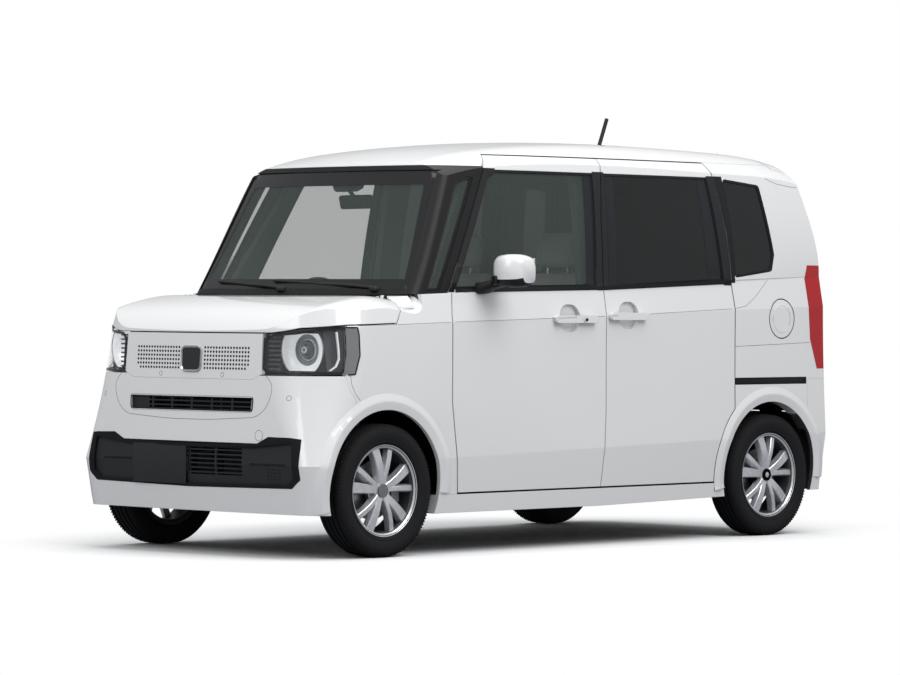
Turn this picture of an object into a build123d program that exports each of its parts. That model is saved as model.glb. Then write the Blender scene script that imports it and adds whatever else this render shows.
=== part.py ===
"""A tall box-shaped kei car, built from its own panels, running gear and cabin pieces."""
from build123d import *
import os

os.makedirs("parts", exist_ok=True)

# Frame: millimetres, +X to the front, +Y to the left, +Z up, origin on the ground at mid length.
length = 3395.0
width = 1475.0
height = 1790.0
front_overhang = 455.0
wheelbase = 2520.0
track = 1305.0

# Wheels and tyres.
tyre_radius = 278.5
tyre_width = 157.0
bead_radius = 181.0
rim_radius = 194.0
rim_well_radius = 160.0
rim_wall = 7.0
rim_width = 132.0
rim_offset = 58.0
hub_seat = 30.0
spoke_thickness = 20.0
hub_bore_radius = 28.0
hub_radius = 66.0
spoke_pairs = 5
running_clearance = 0.3

# Panels, glass and gaps.
shut_gap = 5.0
door_thickness = 55.0
panel_thickness = 18.0
roof_thickness = 30.0
glass_thickness = 5.0
glass_inset = 6.0
glass_seat = 0.3
frame_gap = 10.0
ledge_drop = 6.0
seam = 0.3
arch_radius = 325.0
arch_rise = 12.0
liner_radius = 334.0
liner_thickness = 4.0

# Heights and stations of the shut lines.
least_corner = 10.0
belt_height = 1133.0
belt_rise = 0.036
sill_bottom = 172.0
door_bottom = 255.0
window_top = 1636.0
door_top = 1703.0
door_front_x = 852.0
pillar_x = -127.0
slide_rear_x = -1014.0
bonnet_edge_z = 966.0
lamp_bottom_z = 762.0
lamp_rear_x = 1450.0
lamp_inner_y = 424.0
grille_bottom_z = 738.0
tail_top_z = 1243.0
tail_bottom_z = 763.0
tail_inner_y = 592.0
tail_front_x = -1562.0
rear_bumper_top_z = 716.0
gate_bottom_z = 560.0
gate_hinge_x = -1440.0
gate_hinge_z = 1763.0
bonnet_hinge_x = 1140.0
bonnet_hinge_z = 1085.0
hinge_pin_radius = 3.0
hinge_barrel_radius = 6.0

nose = length / 2
tail = -length / 2
side = width / 2
front_axle_x = nose - front_overhang
rear_axle_x = front_axle_x - wheelbase
wheel_y = track / 2
axle_z = tyre_radius - 1.0
arch_z = axle_z + arch_rise

# Plan sections of the lower body: height at mid length, rise to the rear, then set-backs from the
# nose on the centre line and at the corner, from the widest side at the front, middle and rear,
# from the tail on the centre line and at the corner, and the two corner radii.
lower_rows = [
    (170, 0.018, 33, 58, 31, 25, 29, 26, 42, 110, 100),
    (426, 0.024, 0, 26, 7, 0, 5, 0, 21, 112, 104),
    (700, 0.027, 14, 38, 9, 4, 9, 13, 33, 260, 104),
    (1003, 0.031, 30, 58, 19, 4, 12, 13, 37, 335, 104),
    (belt_height, belt_rise, 46, 76, 48, 25, 32, 20, 44, 345, 104),
]
# Rows between which the lower body is smooth, from the sill to the belt.
crease_spans = [(0, 2), (1, 4), (3, 5)]
# The same for the cabin, whose front is the windshield.
upper_rows = [
    (belt_height, belt_rise, 580, 650, 66, 25, 32, 20, 44, 70, 104),
    (1370, 0.020, 722, 790, 98, 46, 48, 46, 76, 60, 104),
    (1640, 0.004, 862, 936, 146, 88, 96, 118, 150, 50, 104),
    (1800, 0.0, 958, 1034, 178, 126, 134, 146, 178, 45, 104),
]
# Cross-sections of the roof: station, then the drop of the centre line below the highest point.
roof_rows = [(1180, 265), (900, 150), (800, 118), (600, 70), (400, 42), (0, 12), (-500, 0), (-1100, 10), (-1560, 48), (-1800, 85)]
roof_flat_y = 430.0
roof_side_y = 720.0
roof_flat_drop = 18.0
roof_side_drop = 247.0
# Cross-sections of the bonnet: set-back from the nose, then the height of the centre line.
bonnet_rows = [(680, 1114), (450, 1098), (300, 1080), (180, 1050), (100, 1010), (48, 962), (-5, 890)]
bonnet_flat_y = 590.0
bonnet_side_y = 750.0
bonnet_flat_drop = 10.0
bonnet_side_drop = 120.0


def plan_loft(rows, inset):
    """A solid through plan outlines of four arcs with rounded corners."""
    with BuildPart() as block:
        for z, rise, n, nc, f, m, r, t, tc, r_front, r_rear in rows:
            level = Plane(origin=(0, 0, z), x_dir=(1, 0, -rise), z_dir=(rise, 0, 1))
            front, corner_front = nose - n - inset, nose - nc - inset
            rear, corner_rear = tail + t + inset, tail + tc + inset
            y_front, y_mid, y_rear = side - f - inset, side - m - inset, side - r - inset
            x_mid = (corner_front + corner_rear) / 2
            with BuildSketch(level) as section:
                with BuildLine():
                    ThreePointArc((corner_front, -y_front), (front, 0), (corner_front, y_front))
                    ThreePointArc((corner_front, y_front), (x_mid, y_mid), (corner_rear, y_rear))
                    ThreePointArc((corner_rear, y_rear), (rear, 0), (corner_rear, -y_rear))
                    ThreePointArc((corner_rear, -y_rear), (x_mid, -y_mid), (corner_front, -y_front))
                make_face()
                corners = section.vertices().group_by(Axis.X)
                fillet(corners[-1], max(r_front - inset / 2, least_corner))
                fillet(corners[0], max(r_rear - inset / 2, least_corner))
        loft()
    return block.part


def crown_loft(stations, flat_y, flat_drop, side_y, side_drop, bottom):
    """A solid through cross-sections with a crowned top that rolls over to upright sides."""
    with BuildPart() as block:
        for x, z in stations:
            with BuildSketch(Plane(origin=(x, 0, 0), x_dir=(0, 1, 0), z_dir=(1, 0, 0))):
                with BuildLine():
                    top = ThreePointArc((-flat_y, z - flat_drop), (0, z), (flat_y, z - flat_drop))
                    roll = TangentArc((flat_y, z - flat_drop), (side_y, z - side_drop), tangent=top % 1)
                    middle = roll @ 0.5
                    Line((side_y, z - side_drop), (side_y, bottom))
                    Line((side_y, bottom), (-side_y, bottom))
                    Line((-side_y, bottom), (-side_y, z - side_drop))
                    ThreePointArc((-side_y, z - side_drop), (-middle.X, middle.Y), (-flat_y, z - flat_drop))
                make_face()
        loft()
    return block.part


def lowered(rows, drop):
    """Plan sections whose belt line is lowered, for a frame whose ledge stays clear of a door's."""
    return [(z - drop if z == belt_height else z, *rest) for z, *rest in rows]


def lower_body(inset, drop):
    """The lower body, with a crease at its widest line and another at the shoulder."""
    with BuildPart() as block:
        for first, last in crease_spans:
            add(plan_loft(lowered(lower_rows[first:last], drop), inset))
    return block.part


def body_block(inset, roof_inset, drop=0.0):
    """The outer form of the body, or the hollow left inside walls of the given thickness."""
    roof = crown_loft(
        [(x, height - drop - roof_inset) for x, drop in roof_rows],
        roof_flat_y - inset * 0.3, roof_flat_drop, roof_side_y - inset, roof_side_drop, belt_height - 200,
    )
    bonnet = crown_loft(
        [(nose - back, z - inset) for back, z in bonnet_rows],
        bonnet_flat_y - inset * 0.5, bonnet_flat_drop, bonnet_side_y - inset * 0.5, bonnet_side_drop, 100,
    )
    with BuildPart() as above_bonnet:
        with BuildSketch(Plane.XZ):
            with Locations((nose - 300, 900)):
                Rectangle(760, 800)
        extrude(amount=side + 60, both=True)
        add(bonnet, mode=Mode.SUBTRACT)
    with BuildPart() as cabin:
        add(plan_loft(lowered(upper_rows, drop), inset))
        add(roof, mode=Mode.INTERSECT)
    with BuildPart() as block:
        add(lower_body(inset, drop))
        add(above_bonnet.part, mode=Mode.SUBTRACT)
        add(cabin.part)
    return block.part


def side_prism(points, shrink=0.0, radius=0.0, near=0.0, far=800.0):
    """A block whose outline is seen from the side, from one distance off the middle to another."""
    with BuildPart() as block:
        with BuildSketch(Plane.XZ.offset(-near)) as outline:
            with BuildLine():
                Polyline(*points, close=True)
            make_face()
            if radius:
                fillet(outline.vertices(), radius)
            if shrink:
                offset(amount=-shrink, kind=Kind.INTERSECTION)
        extrude(amount=near - far)
    return block.part


def front_prism(points, shrink=0.0, radius=0.0, near=0.0, far=2000.0):
    """A block whose outline is seen from the front, from one station along the car to another."""
    with BuildPart() as block:
        with BuildSketch(Plane.YZ.offset(near)) as outline:
            with BuildLine():
                Polyline(*points, close=True)
            make_face()
            if radius:
                fillet(outline.vertices(), radius)
            if shrink:
                offset(amount=-shrink, kind=Kind.INTERSECTION)
        extrude(amount=far - near)
    return block.part


def disc(x, radius, near, far):
    """A round block across the car, centred on a wheel arch."""
    with BuildPart() as block:
        with BuildSketch(Plane.XZ.offset(-near)):
            with Locations((x, arch_z)):
                Circle(radius)
        extrude(amount=near - far)
    return block.part


def bar(x, z, length, high, near, far, radius):
    """A rounded bar along the car, from one distance off the middle to another."""
    with BuildPart() as block:
        with BuildSketch(Plane.XZ.offset(-near)):
            with Locations((x, z)):
                RectangleRounded(length, high, radius)
        extrude(amount=near - far)
    return block.part


def rod(x, z, radius, near, far):
    """A round bar across the car."""
    with BuildPart() as block:
        with BuildSketch(Plane.XZ.offset(-near)):
            with Locations((x, z)):
                Circle(radius)
        extrude(amount=near - far)
    return block.part


def slab(x_low, x_high, y_low, y_high, z_low, z_high):
    """A plain block between given faces."""
    with BuildPart() as block:
        with Locations(((x_low + x_high) / 2, (y_low + y_high) / 2, (z_low + z_high) / 2)):
            Box(x_high - x_low, y_high - y_low, z_high - z_low)
    return block.part


def hinge_half(x, z, y, half_width, reach, pin=False):
    """One leaf of a pinned hinge: barrel and web, or two ears with the pin between them."""
    web_low = z - 16
    web_high = z - 3
    if pin:
        ear = 8.0
        pieces = [rod(x, z, hinge_pin_radius, y - half_width - ear, y + half_width + ear)]
        for near in (y - half_width - ear, y + half_width):
            pieces.append(rod(x, z, hinge_barrel_radius, near, near + ear))
            pieces.append(slab(min(x, x + reach), max(x, x + reach), near, near + ear, web_low, web_high))
        return pieces
    low, high = y - half_width + seam, y + half_width - seam
    with BuildPart() as leaf:
        add(rod(x, z, hinge_barrel_radius, low, high))
        add(slab(min(x, x + reach), max(x, x + reach), low, high, web_low, web_high))
        add(rod(x, z, hinge_pin_radius + seam, low - 1, high + 1), mode=Mode.SUBTRACT)
    return [leaf.part]


def joined(*pieces):
    """Pieces that overlap, as one solid."""
    with BuildPart() as whole:
        for piece in pieces:
            add(piece)
    return whole.part


def mirrored(points):
    """A closed outline from its left half, given from top to bottom."""
    return points + [(-y, z) for y, z in reversed(points)]


def shaped(base, keep=(), cut=()):
    """A piece of a wall: what lies in every block to keep and in no block to cut."""
    with BuildPart() as piece:
        add(base)
        for block in keep:
            add(block, mode=Mode.INTERSECT)
        for block in cut:
            add(block, mode=Mode.SUBTRACT)
    return piece.part


def write(shape, name):
    """Labels a finished piece and writes its file."""
    shape.label = name
    export_step(shape, f"parts/{name}.step")


def write_pair(shape, name):
    """Writes a left piece and its mirror image on the right."""
    write(shape, f"{name}_left")
    write(mirror(shape, about=Plane.XZ, mode=Mode.PRIVATE), f"{name}_right")


def both_sides(shape):
    """A left piece and its mirror image in one node."""
    return Compound(children=[shape, mirror(shape, about=Plane.XZ, mode=Mode.PRIVATE)])


# Walls of the body, by their thickness.
outer = body_block(0, 0)
inner_panel = body_block(panel_thickness, panel_thickness)
inner_door = body_block(door_thickness, roof_thickness)
frame_outer = body_block(door_thickness + frame_gap, roof_thickness + shut_gap + 2, ledge_drop)
frame_inner = body_block(door_thickness + 45, roof_thickness + 40, ledge_drop)
glass_outer = body_block(glass_inset, glass_inset)
glass_inner = body_block(glass_inset + glass_thickness, glass_inset + glass_thickness)
panel_wall = shaped(outer, cut=[inner_panel])
door_wall = shaped(outer, cut=[inner_door])
glass_wall = shaped(glass_outer, cut=[glass_inner])
frame_wall = shaped(frame_outer, cut=[frame_inner])

# Shut lines seen from the side, nominal, with half a gap taken off each panel.
half_gap = shut_gap / 2
swing_room = 4.0
front_door_line = [
    (door_front_x - 46, door_bottom), (door_front_x, 640), (door_front_x - 4, 1000),
    (door_front_x - 22, 1108), (536, 1642), (455, door_top), (pillar_x - 64, door_top),
    (pillar_x - 22, 1443), (pillar_x, 1120), (pillar_x, 600), (pillar_x + 20, door_bottom),
]
sliding_door_line = [
    (pillar_x + 20, door_bottom), (pillar_x, 600), (pillar_x, 1120), (pillar_x - 22, 1443),
    (pillar_x - 64 - swing_room, door_top), (-924, door_top), (-985, 1372), (slide_rear_x, 1042),
    (slide_rear_x, door_bottom),
]
front_window_line = [(792, 1118), (524, 1605), (470, window_top), (-128, window_top), (-86, 1134)]
sliding_window_line = [(-160, 1134), (-196, window_top), (-892, window_top), (-952, 1166)]
quarter_window_line = [(-1030, 1180), (-1000, window_top - 4), (-1262, 1608), (-1322, 1290), (-1300, 1212)]
front_quarter_line = [(880, 1112), (962, 1108), (716, 1576), (640, 1604), (606, 1598)]
windshield_line = mirrored([(562, 1630), (640, 1116)])
arch_gap = 72.0
door_arch = disc(rear_axle_x, arch_radius + arch_gap, 0, 800)

front_door_area = side_prism(front_door_line, half_gap)
front_door_hole = side_prism(front_door_line, -half_gap)
sliding_door_area = side_prism(sliding_door_line, half_gap)
sliding_door_hole = side_prism(sliding_door_line, -half_gap)
front_window = side_prism(front_window_line)
sliding_window = side_prism(sliding_window_line)
quarter_window = side_prism(quarter_window_line, radius=20)
front_quarter = side_prism(front_quarter_line)
windshield_hole = front_prism(windshield_line, near=500)

# Doors and their glass.
# Pull handles: middle of the bar, its length, then the middle of the finger recess behind it.
front_handle = (86, 992, 270, 111)
sliding_handle = (-262, 1005, 247, -276)
handle_height = 33.0
recess_width = 130.0
recess_height = 120.0
recess_depth = 24.0
handle_skin_y = 733.5
handle_stand_off = 9.0
handle_thickness = 14.0


def handled(door, handle):
    """A door with a finger recess and a pull handle across it."""
    x, z, length, recess_x = handle
    with BuildPart() as recess:
        with BuildSketch(Plane.XZ.offset(recess_depth - handle_skin_y)):
            with Locations((recess_x, z + 4)):
                RectangleRounded(recess_width, recess_height, 55)
        extrude(amount=-recess_depth - 20)
    grip_near = handle_skin_y + handle_stand_off
    grip = bar(x, z, length, handle_height, grip_near, grip_near + handle_thickness, 14)
    foot_low = handle_skin_y - 10
    feet = [bar(x + side_way * (length / 2 - 30), z, 52, handle_height - 6, foot_low, grip_near + 2, 10)
            for side_way in (1, -1)]
    return joined(shaped(door, cut=[recess.part]), grip, *feet)


front_door = shaped(door_wall, keep=[front_door_area], cut=[front_window])
front_door = handled(front_door, front_handle)
write_pair(front_door, "front_door")
write_pair(shaped(glass_wall, keep=[side_prism(front_window_line, glass_seat)]), "front_door_glass")
sliding_door = shaped(door_wall, keep=[sliding_door_area], cut=[sliding_window, door_arch])
# The middle roller arm runs back from the door into the rail slot of the quarter panel.
rail_z = 710.0
rail_height = 32.0
rail_end_x = -1534.0
rail_depth_y = 690.0
roller_x = slide_rear_x - 66
roller_radius = 9.0
arm_y = rail_depth_y + 14
roller_arm = slab(roller_x, slide_rear_x + 22, arm_y - 6, arm_y + 6, rail_z - 8, rail_z + 8)
with BuildPart() as roller:
    with BuildSketch(Plane.XY.offset(rail_z - rail_height / 2 + seam)):
        with Locations((roller_x, arm_y)):
            Circle(roller_radius)
    extrude(amount=rail_height - 4)
sliding_door = joined(handled(sliding_door, sliding_handle), roller_arm, roller.part)
write_pair(sliding_door, "sliding_door")
sliding_glass = shaped(glass_wall, keep=[side_prism(sliding_window_line, glass_seat)])
write(both_sides(sliding_glass), "sliding_door_glasses")

# Windshield, front quarter glasses and the pillars between them.
write(shaped(glass_wall, keep=[front_prism(windshield_line, glass_seat, near=500)]), "windshield")
write(both_sides(shaped(glass_wall, keep=[side_prism(front_quarter_line, glass_seat)])), "front_quarter_glasses")
belt_line_front = (1300, belt_height - 1300 * belt_rise + seam)
pillar_zone = side_prism([
    belt_line_front, (300, belt_height - 300 * belt_rise + seam), (300, 1650 - seam), (1300, 1650 - seam),
])
pillar = shaped(door_wall, keep=[pillar_zone], cut=[front_door_hole, front_quarter, windshield_hole])
write(both_sides(pillar.solids().sort_by(SortBy.VOLUME)[-1]), "windshield_pillars")

# Roof, from the top of the windshield to the hinge of the tailgate.
roof_line = [
    (1100, 1650), (536 + half_gap, 1650), (455, door_top + half_gap), (-924 - shut_gap, door_top + half_gap),
    (gate_hinge_x + half_gap, door_top + half_gap), (gate_hinge_x + half_gap, height + 60), (1100, height + 60),
]
roof_area = side_prism(roof_line, near=-800)
gate_hinge_y = 240.0
gate_barrel_half = 20.0
hinge_reach = 26.0
roof_leaves = [leaf for y in (gate_hinge_y, -gate_hinge_y)
               for leaf in hinge_half(gate_hinge_x, gate_hinge_z, y, gate_barrel_half, hinge_reach, pin=True)]
write(joined(shaped(door_wall, keep=[roof_area]), *roof_leaves), "roof")

# Quarter panels, which run round the rear corners to the tailgate.
tail_side_x = slide_rear_x - half_gap
gate_line = mirrored([(575, height + 40), (588, 1700), (590, tail_top_z), (tail_inner_y - 4, tail_bottom_z),
                      (tail_inner_y - 4, rear_bumper_top_z), (540, gate_bottom_z)])
gate_hole = front_prism(gate_line, -half_gap, near=tail - 60, far=gate_hinge_x + half_gap)
gate_area = front_prism(gate_line, half_gap, near=tail - 60, far=gate_hinge_x - half_gap)
tail_lamp_line = [
    (tail_front_x, tail_top_z), (tail_front_x + 20, 1180), (tail_front_x, 900), (tail_front_x - 50, tail_bottom_z),
    (tail - 60, tail_bottom_z), (tail - 60, tail_top_z),
]
quarter_line = [
    (tail_side_x, door_bottom - shut_gap + seam), (tail_side_x, 1042), (-985 - half_gap, 1372),
    (-924 - half_gap, door_top), (-924 - half_gap, door_top + half_gap - seam),
    (gate_hinge_x + half_gap - seam, door_top + half_gap - seam), (gate_hinge_x + half_gap - seam, height + 60),
    (tail - 60, height + 60),
    (tail - 60, door_bottom - shut_gap + seam),
]
bumper_seam_x = rear_axle_x - 262
rear_bumper_line = [
    (bumper_seam_x, rear_bumper_top_z), (bumper_seam_x, 120), (tail - 60, 120), (tail - 60, rear_bumper_top_z),
]
lid_x = -1353.0
lid_z = 995.0
lid_radius = 88.0
quarter_ring = disc(rear_axle_x, arch_radius + arch_gap - shut_gap, 0, 800)
rear_arch = disc(rear_axle_x, arch_radius, 0, 800)
with BuildPart() as quarter_area:
    add(side_prism(quarter_line))
    add(quarter_ring)
with BuildPart() as below_quarter:
    with BuildSketch(Plane.XZ):
        with Locations((rear_axle_x, (door_bottom - shut_gap + seam) / 2 - 200)):
            Rectangle(2000, door_bottom - shut_gap + seam + 400)
    extrude(amount=-800)
tail_lamp_area = side_prism(tail_lamp_line, near=tail_inner_y)
rear_bumper_area = side_prism(rear_bumper_line)
rail_slot = slab(rail_end_x, tail_side_x + 20, rail_depth_y, side + 40, rail_z - rail_height / 2, rail_z + rail_height / 2)
quarter = shaped(door_wall, keep=[quarter_area.part], cut=[
    below_quarter.part, rear_arch, quarter_window, gate_hole, tail_lamp_area, rear_bumper_area, rail_slot,
])
with BuildPart() as lid_hole:
    with BuildSketch(Plane.XZ.offset(-600)):
        with Locations((lid_x, lid_z)):
            Circle(lid_radius + shut_gap)
    extrude(amount=-200)
with BuildPart() as lid_area:
    with BuildSketch(Plane.XZ.offset(-600)):
        with Locations((lid_x, lid_z)):
            Circle(lid_radius)
    extrude(amount=-200)
right_quarter = mirror(quarter, about=Plane.XZ, mode=Mode.PRIVATE)
# The pocket behind the lid, with the filler neck, its cap and two stops that the lid rests on.
pocket_y = 676.0
pocket_wall = 4.0
neck_radius = 34.0
stop_radius = 6.0
lid_skin = inner_panel.moved(Location((0, -seam, 0)))
with BuildPart() as pocket:
    with BuildSketch(Plane.XZ.offset(-pocket_y)):
        with Locations((lid_x, lid_z)):
            Circle(lid_radius + shut_gap + pocket_wall)
    extrude(amount=-pocket_wall)
    with BuildSketch(Plane.XZ.offset(-pocket_y)):
        with Locations((lid_x + 10, lid_z)):
            Circle(neck_radius)
    extrude(amount=-22)
    with BuildSketch(Plane.XZ.offset(-pocket_y)):
        with Locations((lid_x - 62, lid_z + 30), (lid_x - 62, lid_z - 30)):
            Circle(stop_radius)
    extrude(amount=-80)
    add(lid_skin, mode=Mode.INTERSECT)
write(joined(shaped(quarter, cut=[lid_hole.part]), pocket.part), "quarter_panel_left")
write(right_quarter, "quarter_panel_right")
write(shaped(panel_wall, keep=[lid_area.part]), "fuel_lid")
quarter_glass = shaped(glass_wall, keep=[side_prism(quarter_window_line, glass_seat, radius=20)])
write(both_sides(quarter_glass), "quarter_glasses")

# Tail lamps, tailgate and rear bumper.
tail_lamp = shaped(panel_wall, keep=[side_prism(tail_lamp_line, seam, near=tail_inner_y + half_gap)], cut=[gate_hole])
write(both_sides(tail_lamp), "tail_lamps")
rear_window_line = mirrored([(505, 1590), (540, 1180)])
rear_window = front_prism(rear_window_line, radius=40, near=tail - 60, far=gate_hinge_x - 40)
rear_plate_z = 905.0
plate_recess_width = 420.0
plate_recess_height = 190.0
plate_recess_x = tail + 38
rear_plate_hole_z = rear_plate_z + 60
plate_hole_pitch = 210.0
plate_hole_radius = 3.5
gate_pull_z = rear_plate_z + plate_recess_height / 2 + 26
with BuildPart() as plate_recess:
    with BuildSketch(Plane.YZ.offset(plate_recess_x)):
        with Locations((0, rear_plate_z)):
            RectangleRounded(plate_recess_width, plate_recess_height, 24)
    extrude(amount=-100)
with BuildPart() as plate_holes:
    with BuildSketch(Plane.YZ.offset(plate_recess_x + 24)):
        with Locations((plate_hole_pitch / 2, rear_plate_hole_z), (-plate_hole_pitch / 2, rear_plate_hole_z)):
            Circle(plate_hole_radius)
    extrude(amount=-80)
gate_pull = slab(tail + 2, plate_recess_x + 10, -190, 190, gate_pull_z - 14, gate_pull_z + 14)
gate_leaves = [leaf for y in (gate_hinge_y, -gate_hinge_y)
               for leaf in hinge_half(gate_hinge_x, gate_hinge_z, y, gate_barrel_half, -hinge_reach)]
tailgate = shaped(door_wall, keep=[gate_area], cut=[rear_window, plate_recess.part, plate_holes.part])
write(joined(tailgate, gate_pull, *gate_leaves), "tailgate")
rear_glass = front_prism(rear_window_line, glass_seat, radius=40, near=tail - 60, far=gate_hinge_x - 40)
write(shaped(glass_wall, keep=[rear_glass]), "tailgate_glass")
rear_bumper_whole = front_prism(mirrored([(800, rear_bumper_top_z - seam), (800, 120)]), near=tail - 60,
                                far=bumper_seam_x - seam)
rear_bumper = shaped(panel_wall, keep=[rear_bumper_whole], cut=[
    gate_hole, disc(rear_axle_x, arch_radius, -800, 800),
])
write(rear_bumper, "rear_bumper")

# Bonnet, fenders and the black cowl between bonnet and windshield.
bonnet_rear_x = 1134.0
bonnet_line = [
    (bonnet_rear_x, 1084), (bonnet_rear_x + 16, 1024), (bonnet_rear_x + 48, bonnet_edge_z + 8),
    (lamp_rear_x, bonnet_edge_z), (1600, 952), (1652, 932), (nose + 30, 930), (nose + 30, 1200), (bonnet_rear_x, 1200),
]
bonnet_rear_y = 720.0
bonnet_bow = 46.0


def behind_bonnet(gap):
    """The space behind the bowed rear edge of the bonnet, seen from above."""
    edge = bonnet_rear_x + gap
    with BuildPart() as block:
        with BuildSketch(Plane.XY.offset(900)):
            with BuildLine():
                ThreePointArc((edge, -bonnet_rear_y), (edge + bonnet_bow, 0), (edge, bonnet_rear_y))
                Polyline((edge, bonnet_rear_y), (edge - 300, bonnet_rear_y), (edge - 300, -bonnet_rear_y),
                         (edge, -bonnet_rear_y))
            make_face()
        extrude(amount=400)
    return block.part


bonnet_area = side_prism(bonnet_line, half_gap, near=-800)
bonnet_hole = shaped(side_prism(bonnet_line, -half_gap, near=-800), cut=[behind_bonnet(-half_gap)])
bonnet_hinge_y = 600.0
bonnet_barrel_half = 10.0


def bonnet_leaf(y, reach, pin=False):
    """Half of a bonnet hinge at the end of the cowl."""
    return hinge_half(bonnet_hinge_x, bonnet_hinge_z, y, bonnet_barrel_half, reach, pin)


bonnet_skin = shaped(panel_wall, keep=[bonnet_area], cut=[behind_bonnet(half_gap)])
bonnet_leaves = [shaped(leaf, cut=[slab(1000, 1400, -800, 800, 0, bonnet_hinge_z - 12)])
                 for y in (bonnet_hinge_y, -bonnet_hinge_y) for leaf in bonnet_leaf(y, hinge_reach)]
write(joined(bonnet_skin, *bonnet_leaves), "bonnet")
bumper_seam_line = [(1469, lamp_bottom_z - 6), (1456, 701), (1389, 592)]
fender_line = [
    (door_front_x - 46 + half_gap, door_bottom - shut_gap + seam), (door_front_x + half_gap, 640),
    (door_front_x - 4 + half_gap, 1000), (door_front_x - 22 + half_gap, 1108), (1200, 1108),
    (lamp_rear_x, bonnet_edge_z + 40), (lamp_rear_x, 860), (lamp_rear_x + 14, 780), *bumper_seam_line,
    (1389, 300), (940, door_bottom - shut_gap + seam),
]
belt_cut = side_prism([
    (1300, belt_height - 1300 * belt_rise), (700, belt_height - 700 * belt_rise), (700, 1300), (1300, 1300),
])
front_arch = disc(front_axle_x, arch_radius, 0, 800)
fender = shaped(panel_wall, keep=[side_prism(fender_line, near=640 + seam)], cut=[front_arch, bonnet_hole, belt_cut])
write_pair(fender, "fender")

# Headlamps, grille panel and front bumper.
lamp_side_line = [
    (lamp_rear_x, bonnet_edge_z + 20), (lamp_rear_x, 860), (lamp_rear_x + 14, 780), (1478, lamp_bottom_z),
    (nose + 30, lamp_bottom_z - 6), (nose + 30, bonnet_edge_z + 20),
]
lamp_front_line = [(lamp_inner_y, 700), (lamp_inner_y, 1000), (800, 1000), (800, 700)]
lamp_area = side_prism(lamp_side_line, seam, near=lamp_inner_y)
lamp_hole = side_prism(lamp_side_line, near=lamp_inner_y - seam)
with BuildPart() as lamp_depth:
    with BuildSketch(Plane.XY.offset(600)):
        with BuildLine():
            Polyline((1440, 800), (1440, 640), (1560, 400), (nose + 30, 400), (nose + 30, 800), close=True)
        make_face()
    extrude(amount=500)
lamp = shaped(outer, keep=[lamp_area, lamp_depth.part], cut=[bonnet_hole])
lamp_lens = shaped(lamp, cut=[glass_outer])
ring_y = 540.0
ring_z = 862.0
ring_radius = 80.0
ring_width = 16.0
projector_radius = 34.0
with BuildPart() as lamp_rings:
    with BuildSketch(Plane.YZ.offset(1500)):
        with Locations((ring_y, ring_z)):
            Circle(ring_radius)
            Circle(ring_radius - ring_width, mode=Mode.SUBTRACT)
            Circle(projector_radius)
    extrude(amount=250)
lamp_core = joined(shaped(lamp, keep=[inner_door]), shaped(lamp, keep=[inner_panel, lamp_rings.part]))
write_pair(Compound(children=[*lamp_lens.solids(), *lamp_core.solids()]), "headlamp")
grille_line = mirrored([(414, 960), (414, 926), (lamp_inner_y - 4, lamp_bottom_z), (365, grille_bottom_z)])
grille_area = front_prism(grille_line, seam, near=1500)
grille_hole = front_prism(grille_line, near=1500)
grille_panel = shaped(panel_wall, keep=[grille_area], cut=[bonnet_hole])
write(grille_panel, "grille_panel")
intake_line = mirrored([(430, 475), (600, 495), (622, 330), (576, 296)])
slot_line = mirrored([(370, 663), (366, 605)])
intake_hole = front_prism(intake_line, near=1500)
slot_hole = front_prism(slot_line, near=1500)
bumper_line = [*bumper_seam_line, (1389, 180), (nose + 30, 185), (nose + 30, lamp_bottom_z - 6)]
with BuildPart() as front_arches:
    add(disc(front_axle_x, arch_radius, -800, 800))
bumper_area = side_prism(bumper_line, seam, near=-800)
bumper_top = front_prism(mirrored([(lamp_inner_y - seam, lamp_bottom_z - 6), (lamp_inner_y - seam, 1100)]), near=1500)
bumper_front = shaped(panel_wall, keep=[bumper_area], cut=[
    front_arches.part, grille_hole, intake_hole, slot_hole, mirror(lamp_hole, about=Plane.XZ, mode=Mode.PRIVATE), lamp_hole,
])
write(bumper_front, "front_bumper")

# Dark inserts of the two intakes: a surround with openings, slats and cross bars.
insert_wall = shaped(glass_inner, cut=[inner_door])
intake_half_width = 318.0
intake_low_z = 338.0
intake_high_z = 452.0
slat_height = 6.0
slat_pitch = 19.0
cross_bar_width = 10.0
slot_bar_pitch = 122.0
front_plate_y = -170.0
front_plate_z = 375.0
front_plate_hole_z = front_plate_z + 60
bracket_x = nose - 8


def slatted(y_half, z_low, z_high, bar_pitch, bars):
    """An opening across the car, crossed by level slats and upright bars."""
    with BuildPart() as block:
        with BuildSketch(Plane.YZ.offset(1500)):
            with Locations((0, (z_low + z_high) / 2)):
                Rectangle(2 * y_half, z_high - z_low)
            rows = int((z_high - z_low) / slat_pitch)
            with Locations((0, (z_low + z_high) / 2)):
                with GridLocations(1, slat_pitch, 1, rows):
                    Rectangle(2 * y_half + 2, slat_height, mode=Mode.SUBTRACT)
                with GridLocations(bar_pitch, 1, bars, 1):
                    Rectangle(cross_bar_width, z_high - z_low + 2, mode=Mode.SUBTRACT)
        extrude(amount=300)
    return block.part


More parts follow.
